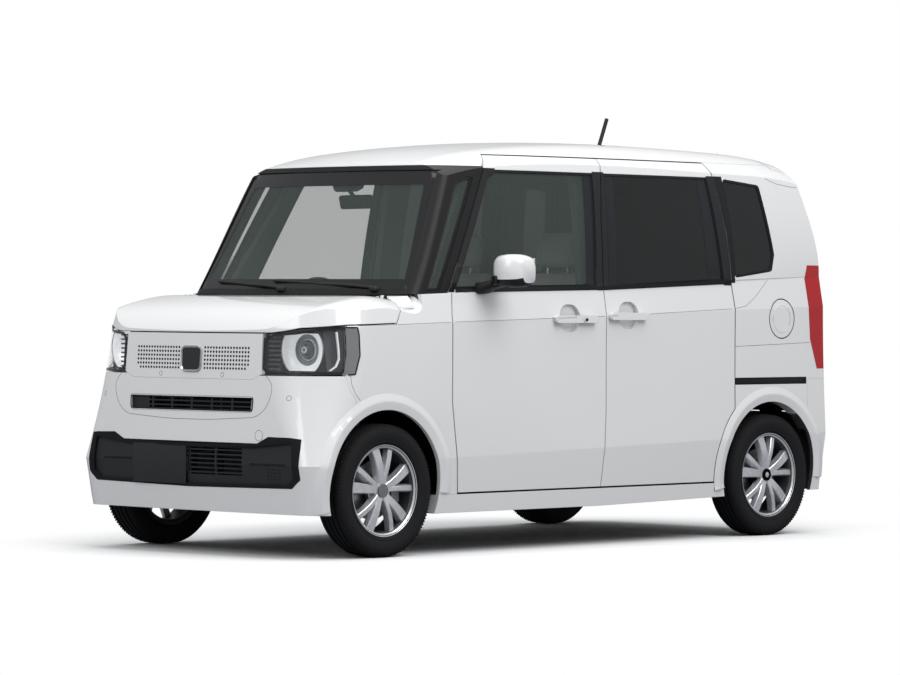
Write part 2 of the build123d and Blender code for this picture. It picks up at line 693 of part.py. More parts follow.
lower_insert = shaped(insert_wall, keep=[front_prism(intake_line, seam, near=1500)], cut=[
    slatted(intake_half_width, intake_low_z, intake_high_z, intake_half_width / 2, 5),
])
plate_bracket = slab(bracket_x - 40, bracket_x, front_plate_y - 125, front_plate_y + 125,
                     front_plate_hole_z - 24, front_plate_hole_z + 16)
with BuildPart() as front_plate_holes:
    with BuildSketch(Plane.YZ.offset(bracket_x - 60)):
        with Locations((front_plate_y + plate_hole_pitch / 2, front_plate_hole_z),
                       (front_plate_y - plate_hole_pitch / 2, front_plate_hole_z)):
            Circle(plate_hole_radius)
    extrude(amount=100)
lower_insert = shaped(joined(lower_insert, plate_bracket), cut=[front_plate_holes.part])
slot_insert = shaped(insert_wall, keep=[front_prism(slot_line, seam, near=1500)], cut=[
    slatted(352, 612, 657, slot_bar_pitch, 5), slab(1500, 1700, -800, 800, 0, 100),
])
write(Compound(children=[*lower_insert.solids(), *slot_insert.solids()]), "front_grilles")

# Side frames behind the doors, sills and floor.
frame_line = [
    (940, 252), (930, 1092), (560, 1640), (470, 1678), (-1010, 1678), (-1062, 1042), (-1062, 620), (-880, 252),
]
front_opening_line = [(786, 300), (776, 1090), (500, 1600), (440, 1636), (-70, 1636), (-62, 1120), (-62, 300)]
rear_opening_line = [(-192, 300), (-192, 1120), (-214, 1636), (-900, 1636), (-956, 1042), (-956, 640), (-800, 300)]
side_frame = shaped(frame_wall, keep=[side_prism(frame_line, near=300)], cut=[
    side_prism(front_opening_line, radius=40), side_prism(rear_opening_line, radius=40),
    disc(rear_axle_x, arch_radius, 0, 800), disc(front_axle_x, liner_radius + 10, 0, 800),
])
write_pair(side_frame, "side_frame")
sill_line = [(1000, sill_bottom), (-1000, sill_bottom), (-1000, door_bottom - shut_gap), (1000, door_bottom - shut_gap)]
sill = shaped(outer, keep=[side_prism(sill_line, near=600)], cut=[
    disc(rear_axle_x, arch_radius, 0, 800), disc(front_axle_x, arch_radius, 0, 800),
])
write_pair(sill, "sill")
floor_half_width = 598.0
floor_line = [
    (1026, 1040), (1026, 500), (880, 214), (-760, 214), (-905, 400), (-1600, 400), (-1600, 425), (-920, 425),
    (-775, 239), (865, 239), (1001, 510), (1001, 1040),
]
wheelhouse_y = 392.0
rear_wheelhouse_y = 545.0
rear_liner_radius = 312.0
floor_pan = shaped(side_prism(floor_line, near=-floor_half_width, far=floor_half_width), cut=[
    disc(front_axle_x, liner_radius + liner_thickness + seam, wheelhouse_y, 800),
    disc(front_axle_x, liner_radius + liner_thickness + seam, -800, -wheelhouse_y),
    disc(rear_axle_x, rear_liner_radius + liner_thickness + seam, rear_wheelhouse_y, 800),
    disc(rear_axle_x, rear_liner_radius + liner_thickness + seam, -800, -rear_wheelhouse_y),
])
write(floor_pan, "floor_pan")

# Wheelhouse liners, open at the strut.
with BuildPart() as front_liner:
    with BuildSketch(Plane.XZ.offset(-wheelhouse_y)):
        with Locations((front_axle_x, arch_z)):
            Circle(liner_radius + liner_thickness)
            Circle(liner_radius, mode=Mode.SUBTRACT)
    extrude(amount=wheelhouse_y - 705)
    with BuildSketch(Plane.XY):
        with Locations((front_axle_x, 500)):
            Rectangle(170, 240)
    extrude(amount=900, mode=Mode.SUBTRACT)
    with BuildSketch(Plane.XZ):
        with Locations((front_axle_x, 130)):
            Rectangle(900, 260)
    extrude(amount=-800, mode=Mode.SUBTRACT)
with BuildPart() as rear_liner:
    with BuildSketch(Plane.XZ.offset(-rear_wheelhouse_y)):
        with Locations((rear_axle_x, arch_z)):
            Circle(rear_liner_radius + liner_thickness)
            Circle(rear_liner_radius, mode=Mode.SUBTRACT)
    extrude(amount=rear_wheelhouse_y - 672)
    with BuildSketch(Plane.XZ):
        with Locations((rear_axle_x, 130)):
            Rectangle(900, 260)
    extrude(amount=-800, mode=Mode.SUBTRACT)
liner_space = inner_panel.moved(Location((0, -seam, 0)))
front_liner_part = shaped(front_liner.part.solids()[0], keep=[liner_space])
rear_liner_part = shaped(rear_liner.part.solids()[0], keep=[liner_space])
write(both_sides(front_liner_part.solids().sort_by(SortBy.VOLUME)[-1]), "front_wheel_liners")
write(both_sides(rear_liner_part.solids().sort_by(SortBy.VOLUME)[-1]), "rear_wheel_liners")

# Cowl between the bonnet and the windshield.
with BuildPart() as cowl:
    with BuildSketch(Plane.XY.offset(1040)):
        with BuildLine():
            Polyline((1200, 640), (1046, 640))
            ThreePointArc((1046, 640), (1108, 0), (1046, -640))
            Polyline((1046, -640), (1200, -640), (1200, 640))
        make_face()
    extrude(amount=30)
    add(bonnet_hole, mode=Mode.SUBTRACT)
    add(side_prism([(bonnet_rear_x + 120, 800), (bonnet_rear_x + bonnet_bow - half_gap, 800),
                    (bonnet_rear_x + bonnet_bow - half_gap, 1200), (bonnet_rear_x + 120, 1200)], near=-800),
        mode=Mode.SUBTRACT)
cowl_leaves = [leaf for y in (bonnet_hinge_y, -bonnet_hinge_y) for leaf in bonnet_leaf(y, -hinge_reach, pin=True)]
write(joined(cowl.part, *cowl_leaves), "cowl")

# Front structure: rails, bumper beam, strut towers and subframe with lower arms.
rail_y = 355.0
rail_rear_x = 1026.0 + seam
engine_side = 300.0
rail_width = 70.0
ball_joint_y = 606.0
arm_top_z = 200.0
strut_top_y = 522.0
strut_top_z = 850.0
tower_thickness = 6.0
with BuildPart() as front_structure:
    for sign in (1, -1):
        with Locations(((rail_rear_x + nose - 70) / 2, sign * rail_y, 470)):
            Box(nose - 70 - rail_rear_x, rail_width, 110)
        with Locations((front_axle_x + 30, sign * (engine_side + seam + (rail_y - engine_side) / 2), 470)):
            Box(70, rail_y - engine_side, 80)
    with Locations((nose - 102, 0, 500)):
        Box(50, 860, 100)
    for sign in (1, -1):
        with Locations((front_axle_x, sign * (rail_y + rail_width / 2 - 6), 680)):
            Box(190, 12, 360)
        with Locations((front_axle_x, sign * 495, strut_top_z + tower_thickness / 2)):
            Box(190, 226, tower_thickness)
steering_axis = Plane(origin=(front_axle_x, ball_joint_y, arm_top_z), x_dir=(1, 0, 0), z_dir=(0, -0.1282, 0.9918))
with BuildPart() as ball_seat:
    with BuildSketch(steering_axis.offset(-14)):
        Circle(20)
    extrude(amount=16)
with BuildPart() as subframe:
    add(ball_seat.part)
    add(mirror(ball_seat.part, about=Plane.XZ, mode=Mode.PRIVATE))
    with Locations((front_axle_x - 30, 0, 205)):
        Box(330, 2 * (rail_y + 5), 50)
    for sign in (1, -1):
        with BuildSketch(Plane.XY.offset(180)):
            with BuildLine():
                Polyline((front_axle_x + 90, sign * 310), (front_axle_x + 14, sign * (ball_joint_y + 8)),
                         (front_axle_x - 14, sign * (ball_joint_y + 8)), (front_axle_x - 190, sign * 310), close=True)
            make_face()
        extrude(amount=20)
    with Locations((front_axle_x - 20, rail_y, 322), (front_axle_x - 20, -rail_y, 322)):
        Box(60, 50, 185.4)
write(front_structure.part, "front_rails")
write(subframe.part, "front_subframe")

# Engine and gearbox as one block between the rails.
with BuildPart() as engine:
    with Locations((front_axle_x + 30, 0, 540)):
        Box(360, 2 * engine_side, 520)
    fillet(engine.edges().filter_by(Axis.Z), 40)
write(engine.part, "engine_block")

# Front knuckles with hub, strut and spring, turning about the steering axis.
with BuildPart() as knuckle:
    with BuildSketch(Plane.XZ.offset(-(wheel_y - 62))):
        with Locations((front_axle_x, axle_z)):
            Circle(52)
    extrude(amount=34)
    with BuildSketch(Plane.XZ.offset(-(wheel_y + 12))):
        with Locations((front_axle_x, axle_z)):
            Circle(hub_radius)
    extrude(amount=-(hub_seat - running_clearance - 12))
    with BuildSketch(Plane.XZ.offset(-(wheel_y - 28))):
        with Locations((front_axle_x, axle_z)):
            Circle(40)
    extrude(amount=-42)
    with BuildSketch(Plane.XZ.offset(-(wheel_y - 62))):
        with Locations((front_axle_x, axle_z)):
            Circle(30)
    extrude(amount=-36)
    with BuildSketch(Plane.XZ.offset(-(wheel_y - 10))):
        with Locations((front_axle_x, axle_z)):
            Circle(hub_bore_radius - running_clearance)
    extrude(amount=-(rim_offset + 10))
    with BuildSketch(Plane.XZ.offset(-(wheel_y - 24))):
        with Locations((front_axle_x, axle_z)):
            Circle(122)
    extrude(amount=-18)
    with Locations((front_axle_x, wheel_y - 80, axle_z - 30)):
        Box(60, 36, 70)
    with Locations((front_axle_x, wheel_y - 66, arm_top_z + 20)):
        Box(44, 64, 20)
    with BuildSketch(steering_axis.offset(2 + seam)):
        Circle(8)
    extrude(amount=14)
    with Locations((front_axle_x - 114, wheel_y - 18, axle_z)):
        Box(46, 62, 104)
strut_path = Edge.make_line((front_axle_x, wheel_y - 104, axle_z + 20), (front_axle_x, strut_top_y, strut_top_z - seam))
strut_axis = Plane(origin=strut_path @ 0, z_dir=strut_path % 0)
with BuildPart() as strut:
    with BuildSketch(strut_axis):
        Circle(22)
    extrude(amount=strut_path.length - 12)
    with BuildSketch(strut_axis.offset(330)):
        Circle(52)
    extrude(amount=strut_path.length - 345)
    with Locations((front_axle_x, wheel_y - 92, axle_z + 30)):
        Box(56, 40, 90)
write_pair(joined(knuckle.part, strut.part), "knuckle")

# Rear axle: twist beam, trailing arms, springs, hubs and drums.
beam_x = rear_axle_x + 150
with BuildPart() as rear_axle:
    with BuildSketch(Plane.XZ.offset(-500)):
        with Locations((beam_x, axle_z + 20)):
            Circle(38)
    extrude(amount=1000)
    for sign in (1, -1):
        with BuildSketch(Plane.XZ.offset(-sign * 520)) as arm:
            with BuildLine():
                Polyline((-920, 330), (-920, 260), (rear_axle_x - 30, axle_z - 40), (rear_axle_x - 40, axle_z + 40), close=True)
            make_face()
        extrude(amount=20, both=True)
        with BuildSketch(Plane.XZ.offset(-sign * 575)):
            with Locations((rear_axle_x, axle_z)):
                Circle(104)
        extrude(amount=35, both=True)
        with BuildSketch(Plane.XZ.offset(-sign * (wheel_y + 10))):
            with Locations((rear_axle_x, axle_z)):
                Circle(hub_bore_radius - running_clearance)
        extrude(amount=rim_offset - 12, both=True)
        with BuildSketch(Plane.XZ.offset(-sign * (wheel_y - 10))):
            with Locations((rear_axle_x, axle_z)):
                Circle(hub_radius)
        extrude(amount=hub_seat + 10 - running_clearance, both=True)
        with BuildSketch(Plane.XY.offset(axle_z + 20)):
            with Locations((beam_x, sign * 430)):
                Circle(50)
        extrude(amount=400 - axle_z - 20 - seam)
write(rear_axle.part, "rear_axle")

# Fuel tank under the front seats, and the exhaust with its silencer.
with BuildPart() as fuel_tank:
    with Locations((60, 0, 181.85)):
        Box(620, 760, 63.7)
    fillet(fuel_tank.edges().filter_by(Axis.Z), 60)
write(fuel_tank.part, "fuel_tank")
with BuildPart() as exhaust:
    with BuildSketch(Plane.XZ.offset(-300)):
        with Locations((-1430, 310)):
            Circle(70)
    extrude(amount=520)
    with Locations((-1430, 20, 384.85)):
        Box(60, 40, 29.7)
    with BuildSketch(Plane.YZ.offset(-1430)):
        with Locations((250, 250)):
            Circle(20)
    extrude(amount=-190)
    with Locations((-1430, 250, 262)):
        Box(50, 40, 40)
write(exhaust.part, "exhaust")

# Wheels: one rim and tyre, placed at the four corners.
wheel_left = Plane(origin=(0, 0, 0), x_dir=(1, 0, 0), z_dir=(0, -1, 0))
rim_half = rim_width / 2
flange = 6.0
seat_outer = rim_half - flange
rim_profile = [
    (rim_radius, rim_half), (rim_radius, seat_outer), (bead_radius, seat_outer), (bead_radius, 28),
    (rim_well_radius, 14), (rim_well_radius, -20), (bead_radius, -38), (bead_radius, -seat_outer),
    (rim_radius, -seat_outer), (rim_radius, -rim_half), (bead_radius - rim_wall, -rim_half),
    (bead_radius - rim_wall, -42), (rim_well_radius - rim_wall, -24), (rim_well_radius - rim_wall, 18),
    (bead_radius - rim_wall, 34), (bead_radius - rim_wall, rim_half),
]
spoke_out = rim_offset
with BuildPart() as rim:
    with BuildSketch(Plane.XY):
        with BuildLine():
            Polyline(*rim_profile, close=True)
        make_face()
    revolve(axis=Axis.Y)
    with BuildSketch(Plane.XY):
        with BuildLine():
            Polyline((hub_bore_radius, spoke_out - 12), (hub_bore_radius, hub_seat),
                     (hub_radius, hub_seat), (bead_radius - 5, spoke_out - spoke_thickness),
                     (bead_radius - 5, spoke_out), (70, spoke_out - 8), (36, spoke_out - 12), close=True)
        make_face()
    revolve(axis=Axis.Y)
    with BuildSketch(Plane.XZ.offset(-spoke_out - 20)):
        with PolarLocations(0, spoke_pairs, start_angle=90):
            Polygon((78, 18), (160, 54), (160, -54), (78, -18), align=None)
        with PolarLocations(0, spoke_pairs, start_angle=90 + 180 / spoke_pairs):
            Polygon((96, 5), (160, 17), (160, -17), (96, -5), align=None)
    extrude(amount=100, mode=Mode.SUBTRACT)
tyre_half = tyre_width / 2
bead_gap = 0.3
tyre_profile = [
    (bead_radius + bead_gap, seat_outer - bead_gap), (rim_radius + 2, seat_outer - bead_gap), (222, tyre_half - 1),
    (244, tyre_half), (266, tyre_half - 10), (tyre_radius, tyre_half - 30),
]
with BuildPart() as tyre:
    with BuildSketch(Plane.XY):
        with BuildLine():
            Polyline(*tyre_profile, *[(r, -w) for r, w in reversed(tyre_profile)], close=True)
        make_face()
    revolve(axis=Axis.Y)
for place, x in (("front", front_axle_x), ("rear", rear_axle_x)):
    for hand, turn in (("left", 0), ("right", 180)):
        y = wheel_y if hand == "left" else -wheel_y
        corner = Location((x, y, axle_z), (0, 0, turn))
        write(rim.part.moved(corner), f"wheel_{place}_{hand}")
        write(tyre.part.moved(corner), f"tyre_{place}_{hand}")

# Door mirrors, each on an arm from the front door.
with BuildPart() as mirror_shell:
    with BuildSketch(Plane.XZ.offset(-764)) as outline:
        with BuildLine():
            Polyline((520, 1135), (505, 1262), (640, 1268), (700, 1150), (640, 1128), close=True)
        make_face()
        fillet(outline.vertices(), 22)
    extrude(amount=-166, taper=5)
    fillet(mirror_shell.faces().sort_by(Axis.Y)[-1].edges(), 12)
    with BuildSketch(Plane.XZ.offset(-700)) as foot:
        with Locations((650, 1128)):
            RectangleRounded(110, 34, 12)
    extrude(amount=-100)
mirror_part = shaped(mirror_shell.part, cut=[outer])
write_pair(mirror_part.solids().sort_by(SortBy.VOLUME)[-1], "door_mirror")

# Cabin: dashboard, steering wheel, seats and their frames.
seat_y = 345.0
with BuildPart() as dashboard:
    with BuildSketch(Plane.XZ.offset(-590)) as outline:
        with BuildLine():
            Polyline((1001 - seam, 700), (1001 - seam, 1056), (900, 1072), (700, 1030), (660, 960), (700, 780), close=True)
        make_face()
        fillet(outline.vertices().filter_by_position(Axis.X, 600, 720), 30)
    extrude(amount=1180)
steering_plane = Plane(origin=(520, -seat_y, 1000), x_dir=(0, 1, 0), z_dir=Vector(-1, 0, 0).rotate(Axis.Y, 24))
with BuildPart() as steering:
    with BuildSketch(Plane(origin=steering_plane.origin, x_dir=(0, 1, 0), z_dir=steering_plane.x_dir.cross(steering_plane.z_dir))):
        with Locations((175, 0)):
            RegularPolygon(14, 8)
    revolve(axis=Axis(steering_plane.origin, steering_plane.z_dir))
    with BuildSketch(steering_plane.offset(-14)):
        Circle(52)
        Rectangle(340, 34)
        with Locations((0, -85)):
            Rectangle(40, 170)
    extrude(amount=18)
    with BuildSketch(steering_plane.offset(-180)):
        Circle(28)
    extrude(amount=170)
write(steering.part, "steering_wheel")
with BuildPart() as column_hole:
    with BuildSketch(steering_plane.offset(-220)):
        Circle(28 + seam)
    extrude(amount=200)
write(shaped(dashboard.part, cut=[column_hole.part]), "dashboard")


def seat(x, y, base_z, wide, deep, back_high):
    """Cushion, backrest and headrest of one seat, as three soft solids."""
    with BuildPart() as cushion:
        with Locations((x, y, base_z + 75)):
            Box(deep, wide, 150)
        fillet(cushion.edges(), 30)
    back_plane = Plane(origin=(x - deep / 2 - 24, y, base_z + 60), x_dir=(0, 1, 0), z_dir=(-0.25, 0, 1))
    with BuildPart() as back:
        with BuildSketch(back_plane):
            Rectangle(wide, 110)
        extrude(amount=back_high)
        fillet(back.edges(), 34)
    with BuildPart() as head:
        with BuildSketch(back_plane.offset(back_high + 30)):
            Rectangle(250, 90)
        extrude(amount=170)
        fillet(head.edges(), 30)
        with BuildSketch(back_plane.offset(back_high + seam)):
            with Locations((-70, 0), (70, 0)):
                Circle(6)
        extrude(amount=60)
    low = shaped(back.part, cut=[cushion.part])
    return [cushion.part, low, head.part]


front_seats = seat(150, seat_y, 520, 500, 500, 620) + seat(150, -seat_y, 520, 500, 500, 620)
write(Compound(children=front_seats), "front_seats")
rear_seats = seat(-760, 290, 560, 560, 460, 600) + seat(-760, -290, 560, 560, 460, 600)
write(Compound(children=rear_seats), "rear_seats")
with BuildPart() as front_seat_bases:
    with Locations((150, seat_y, 379.35), (150, -seat_y, 379.35)):
        Box(380, 420, 280.7)
with BuildPart() as rear_seat_bases:
    with Locations((-705, 290, 399.35), (-705, -290, 399.35)):
        Box(120, 420, 320.7)
write(Compound(children=[*front_seat_bases.part.solids(), *rear_seat_bases.part.solids()]), "seat_bases")

# Wipers and aerial.
with BuildPart() as wipers:
    for x, y, reach in ((1128, 480, 540), (1140, -100, 420)):
        with Locations((x, y - reach / 2, 1092)):
            Box(14, reach, 12)
        with Locations((x, y, 1078.3)):
            Cylinder(10, 16)
write(Compound(children=wipers.part.solids()), "wipers")
with BuildPart() as aerial:
    with BuildSketch(Plane(origin=(-894, 0, 1782), z_dir=(-0.42, 0, 1))):
        Circle(9)
    extrude(amount=150)
aerial_solid = shaped(aerial.part, cut=[outer])
write(aerial_solid.solids().sort_by(SortBy.VOLUME)[-1], "aerial")
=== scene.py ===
"""Dresses the kei car: paint, glass, lamps, wheels, trim and cabin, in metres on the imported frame."""
import math

import bpy
import bmesh
from mathutils import Matrix, Vector
from mathutils.bvhtree import BVHTree


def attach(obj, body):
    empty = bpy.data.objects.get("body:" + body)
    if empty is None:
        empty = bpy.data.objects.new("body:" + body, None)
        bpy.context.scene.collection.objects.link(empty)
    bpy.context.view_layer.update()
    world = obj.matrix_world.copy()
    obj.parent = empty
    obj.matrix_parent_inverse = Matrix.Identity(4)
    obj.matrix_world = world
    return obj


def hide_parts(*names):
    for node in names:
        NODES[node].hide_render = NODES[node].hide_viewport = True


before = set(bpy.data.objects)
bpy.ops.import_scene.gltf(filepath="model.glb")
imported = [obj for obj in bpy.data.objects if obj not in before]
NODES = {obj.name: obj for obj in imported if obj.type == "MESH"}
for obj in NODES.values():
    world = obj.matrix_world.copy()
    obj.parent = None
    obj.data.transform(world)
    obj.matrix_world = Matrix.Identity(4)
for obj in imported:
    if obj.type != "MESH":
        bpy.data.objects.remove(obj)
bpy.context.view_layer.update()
SCENE = bpy.context.scene
MM = 0.001
TO_MM = 1000.0

# Wheels and arches, in millimetres.
FRONT_AXLE_X = 1242.5
REAR_AXLE_X = -1277.5
AXLE_Z = 277.5
WHEEL_Y = 652.5
ARCH_Z = 289.5
ARCH_RADIUS = 325.0

SHADER = "Principled BSDF"


# Node trees and materials.

def added(tree, **kinds):
    """Adds nodes to a tree, by name and type, and gives the nodes of the tree."""
    for name, kind in kinds.items():
        tree.nodes.new(kind).name = name
    return tree.nodes


def wire(tree, *wires):
    """Joins nodes of a tree; a wire is (node, output, node, input)."""
    for source, output, target, into in wires:
        tree.links.new(tree.nodes[source].outputs[output], tree.nodes[target].inputs[into])


def set_inputs(node, values):
    """Sets inputs of a node by name or number."""
    for key, value in values.items():
        node.inputs[key].default_value = value


def tones(base, dark, light):
    """A darker and a lighter tone of a colour."""
    return [c * dark for c in base], [min(1.0, c * light) for c in base]


def shaded(name, base, scale, shades, inputs, detail=4.0):
    """A material whose colour wavers between two shades, by a noise on object coordinates."""
    material = bpy.data.materials.new(name)
    material.use_nodes = True
    tree = material.node_tree
    nodes = added(tree, place="ShaderNodeTexCoord", noise="ShaderNodeTexNoise", shades="ShaderNodeValToRGB")
    set_inputs(nodes[SHADER], {"Base Color": (*base, 1.0), **inputs})
    set_inputs(nodes["noise"], {"Scale": scale, "Detail": detail})
    for stop, position, colour in zip(nodes["shades"].color_ramp.elements, (0.35, 0.65), shades):
        stop.position = position
        stop.color = (*colour, 1.0)
    wire(tree, ("place", "Object", "noise", "Vector"), ("noise", "Fac", "shades", "Fac"),
         ("shades", "Color", SHADER, "Base Color"))
    return material


def grain(material, strength, distance):
    """Adds a bump from the material's own noise."""
    tree = material.node_tree
    set_inputs(added(tree, bump="ShaderNodeBump")["bump"], {"Strength": strength, "Distance": distance})
    wire(tree, ("noise", "Fac", "bump", "Height"), ("bump", "Normal", SHADER, "Normal"))
    return material


def pearl_paint(name, inner_colour):
    """White pearl under a clear coat outside, and trim colour on the faces that look into the cabin."""
    flakes = (0.780, 0.785, 0.785), (0.820, 0.822, 0.818)
    coat = {"Roughness": 0.34, "Coat Weight": 1.0, "Coat Roughness": 0.05}
    material = shaded(name, (0.80, 0.81, 0.82), 900.0, flakes, coat, detail=2.0)
    tree = material.node_tree
    nodes = added(tree, outward="ShaderNodeMapping", facing="ShaderNodeVectorMath", inside="ShaderNodeMath",
                  mix="ShaderNodeMix", edge="ShaderNodeBevel")
    nodes["outward"].vector_type = "POINT"
    nodes["facing"].operation = "DOT_PRODUCT"
    nodes["inside"].operation = "LESS_THAN"
    nodes["mix"].data_type = "RGBA"
    nodes["edge"].samples = 4
    set_inputs(nodes["outward"], {"Location": (0.3, 0.0, -1.0)})
    set_inputs(nodes["inside"], {1: -0.30})
    set_inputs(nodes["mix"], {"B": (*inner_colour, 1.0)})
    set_inputs(nodes["edge"], {"Radius": 0.0035})
    wire(tree, ("place", "Object", "outward", "Vector"), ("outward", "Vector", "facing", 0),
         ("place", "Normal", "facing", 1), ("facing", "Value", "inside", 0), ("inside", "Value", "mix", "Factor"),
         ("shades", "Color", "mix", "A"), ("mix", "Result", SHADER, "Base Color"),
         ("edge", "Normal", SHADER, "Normal"), ("edge", "Normal", SHADER, "Coat Normal"))
    return material


def moulded(name, base, roughness, scale=260.0, strength=0.12, shine=None):
    """Moulded plastic with a fine grain."""
    if shine is None:
        shine = 0.5 if roughness < 0.4 else 0.25
    inputs = {"Roughness": roughness, "Specular IOR Level": shine}
    return grain(shaded(name, base, scale, tones(base, 0.9, 1.12), inputs), strength, 0.0004)


def metal(name, base, roughness, metallic=1.0, **glow):
    """Metal with a faintly uneven surface."""
    inputs = {"Roughness": roughness, "Metallic": metallic}
    inputs.update({f"Emission {key}": value for key, value in glow.items()})
    return shaded(name, base, 60.0, tones(base, 0.93, 1.06), inputs)


def window_glass(name, colour, see_through, roughness=0.02):
    """Tinted glass as a glossy coat over a part see-through body."""
    inputs = {"Roughness": roughness, "Alpha": 1.0 - see_through, "Specular IOR Level": 0.0,
              "Coat Weight": 1.0, "Coat Roughness": 0.02}
    return shaded(name, colour, 3.0, tones(colour, 0.96, 1.04), inputs)


def cloth(name, base):
    """Woven seat cloth with a soft sheen."""
    inputs = {"Roughness": 0.9, "Sheen Weight": 0.3}
    return grain(shaded(name, base, 1500.0, tones(base, 0.85, 1.1), inputs), 0.4, 0.0006)


PAINT = pearl_paint("pearl_white_paint", (0.075, 0.075, 0.078))
CLEAR_GLASS = window_glass("clear_green_glass", (0.110, 0.140, 0.125), 0.76)
DARK_GLASS = window_glass("dark_privacy_glass", (0.006, 0.007, 0.007), 0.16)
TRIM = moulded("black_trim", (0.010, 0.010, 0.011), 0.5)
GLOSS_BLACK = moulded("gloss_black", (0.010, 0.010, 0.011), 0.14, strength=0.0)
SATIN_GREY = moulded("satin_grey_film", (0.045, 0.046, 0.050), 0.38, strength=0.04)
GREY_TRIM = moulded("dark_grey_trim", (0.024, 0.025, 0.027), 0.62)
CABIN = moulded("cabin_plastic", (0.085, 0.085, 0.090), 0.6)
# Black underbody and liner plastic, made darker than the plastic as painted shade in the wheel arches and on the
# sheet in the intake slot.
UNDERBODY_BLACK_AND_SHADE = moulded("underbody_black_and_painted_shade", (0.003, 0.003, 0.003), 0.95, 80.0, shine=0.04)
DULL_BLACK = moulded("dull_black", (0.016, 0.0165, 0.018), 0.85, shine=0.06)
PILLAR_BLACK = moulded("pillar_black", (0.009, 0.009, 0.010), 0.42)
PILLAR_GREY = moulded("pillar_grey", (0.016, 0.017, 0.020), 0.42)
SHADOW_LINE = moulded("panel_shadow_line", (0.30, 0.305, 0.315), 0.7)
LAMP_GREY = moulded("lamp_inner_grey", (0.085, 0.088, 0.092), 0.55)
LAMP_BEZEL = moulded("lamp_inner_bezel", (0.30, 0.31, 0.32), 0.5)
LAMP_SHADE = moulded("lamp_inner_dark", (0.020, 0.021, 0.023), 0.5)
SIDE_LENS = moulded("lamp_side_lens", (0.20, 0.205, 0.21), 0.12, strength=0.0)
ALLOY = metal("silver_wheel_paint", (0.74, 0.75, 0.77), 0.30, 0.70)
WHEEL_SHADE = metal("shaded_wheel_paint", (0.055, 0.057, 0.060), 0.50, 0.3)
STEEL = metal("bare_steel", (0.30, 0.30, 0.31), 0.45)
CHROME = metal("bright_chrome", (0.60, 0.61, 0.62), 0.14)
RUBBER = moulded("tyre_rubber", (0.009, 0.009, 0.010), 0.78, 420.0)
RED_LENS = window_glass("red_lens", (0.42, 0.006, 0.010), 0.0, 0.08)
LAMP_LENS = window_glass("lamp_lens", (0.30, 0.32, 0.33), 0.90)
LAMP_SILVER_AND_HIGHLIGHT = metal("lamp_silver_and_painted_highlight", (0.90, 0.91, 0.92), 0.28, 0.15)
# Painted light: a faint glow brightens the lamp ring where the lamp's housing and lens shade it.
GLOWING_LAMP_RING = metal("lamp_ring_painted_glow", (0.88, 0.89, 0.90), 0.30, 0.15, Color=(0.95, 0.97, 1.0, 1.0), Strength=0.42)
PROJECTOR_GLASS = moulded("projector_glass", (0.10, 0.11, 0.12), 0.04, strength=0.0)
SEAT_CLOTH = cloth("light_grey_seat_cloth", (0.50, 0.49, 0.47))

# The finish of nodes by how their names start: the longest start wins, and every other node is painted.
NODE_FINISH = [
    (PILLAR_BLACK, ["windshield_pillars"]),
    (CLEAR_GLASS, ["windshield", "front_quarter_glasses", "front_door_glass"]),
    (DARK_GLASS, ["sliding_door_glasses", "quarter_glasses", "tailgate_glass"]),
    (LAMP_LENS, ["headlamp"]),
    (RED_LENS, ["tail_lamps"]),
    (RUBBER, ["tyre"]),
    (ALLOY, ["wheel_"]),
    (STEEL, ["knuckle", "exhaust", "engine_block"]),
    (UNDERBODY_BLACK_AND_SHADE, ["rear_axle", "front_rails", "front_subframe", "floor_pan", "fuel_tank", "seat_bases",
                 "front_wheel_liners", "rear_wheel_liners"]),
    (CABIN, ["side_frame", "dashboard"]),
    (SEAT_CLOTH, ["front_seats", "rear_seats"]),
    (TRIM, ["steering_wheel", "cowl", "wipers", "aerial"]),
    (GREY_TRIM, ["front_grilles"]),
]


def finish_nodes():
    """Gives every node of the frame its own finish."""
    finish_of = {start: material for material, starts in NODE_FINISH for start in starts}
    for name, node in NODES.items():
        found = [start for start in finish_of if name.startswith(start)]
        node.data.materials.clear()
        node.data.materials.append(finish_of[max(found, key=len)] if found else PAINT)


# Shapes: each is (points, faces), in millimetres.

CORNER_STEPS = 5
ROD_SIDES = 10


def joined(*shapes):
    """Several shapes as one."""
    points, faces = [], []
    for more_points, more_faces in shapes:
        start = len(points)
        points.extend(more_points)
        faces.extend([start + i for i in face] for face in more_faces)
    return points, faces


def mirrored(shape):
    """The same shape on the other side of the car."""
    points, faces = shape
    return [Vector((p[0], -p[1], p[2])) for p in points], [list(reversed(face)) for face in faces]


def moved(shape, matrix):
    """A shape turned and shifted by a matrix in millimetres."""
    points, faces = shape
    return [matrix @ Vector(p) for p in points], faces


def skinned(rings, closed=False):
    """A solid through a row of closed rings with the same number of points."""
    count = len(rings[0])
    points = [Vector(p) for ring in rings for p in ring]
    faces = []
    for i in range(len(rings) if closed else len(rings) - 1):
        this, following = i * count, ((i + 1) % len(rings)) * count
        for j in range(count):
            k = (j + 1) % count
            faces.append([this + j, this + k, following + k, following + j])
    if not closed:
        faces.append(list(reversed(range(count))))
        faces.append([(len(rings) - 1) * count + j for j in range(count)])
    return points, faces


def turned(profile, steps, centre=(0, 0, 0)):
    """A ring turned about a line across the car; its profile is (out along the line, radius)."""
    rings = []
    for i in range(steps):
        angle = 2 * math.pi * i / steps
        rings.append([(centre[0] + r * math.cos(angle), centre[1] + out, centre[2] + r * math.sin(angle))
                      for out, r in profile])
    return skinned(rings, closed=True)


def oblong(a, b, c, d):
    """The corners of an upright rectangle, from (a, b) to (c, d)."""
    return [(a, b), (a, d), (c, d), (c, b)]


def bar(foot, top, low, high):
    """The section of a bar, from its half widths at the foot and at the top and their heights."""
    return [(-foot, low), (-top, high), (top, high), (foot, low)]


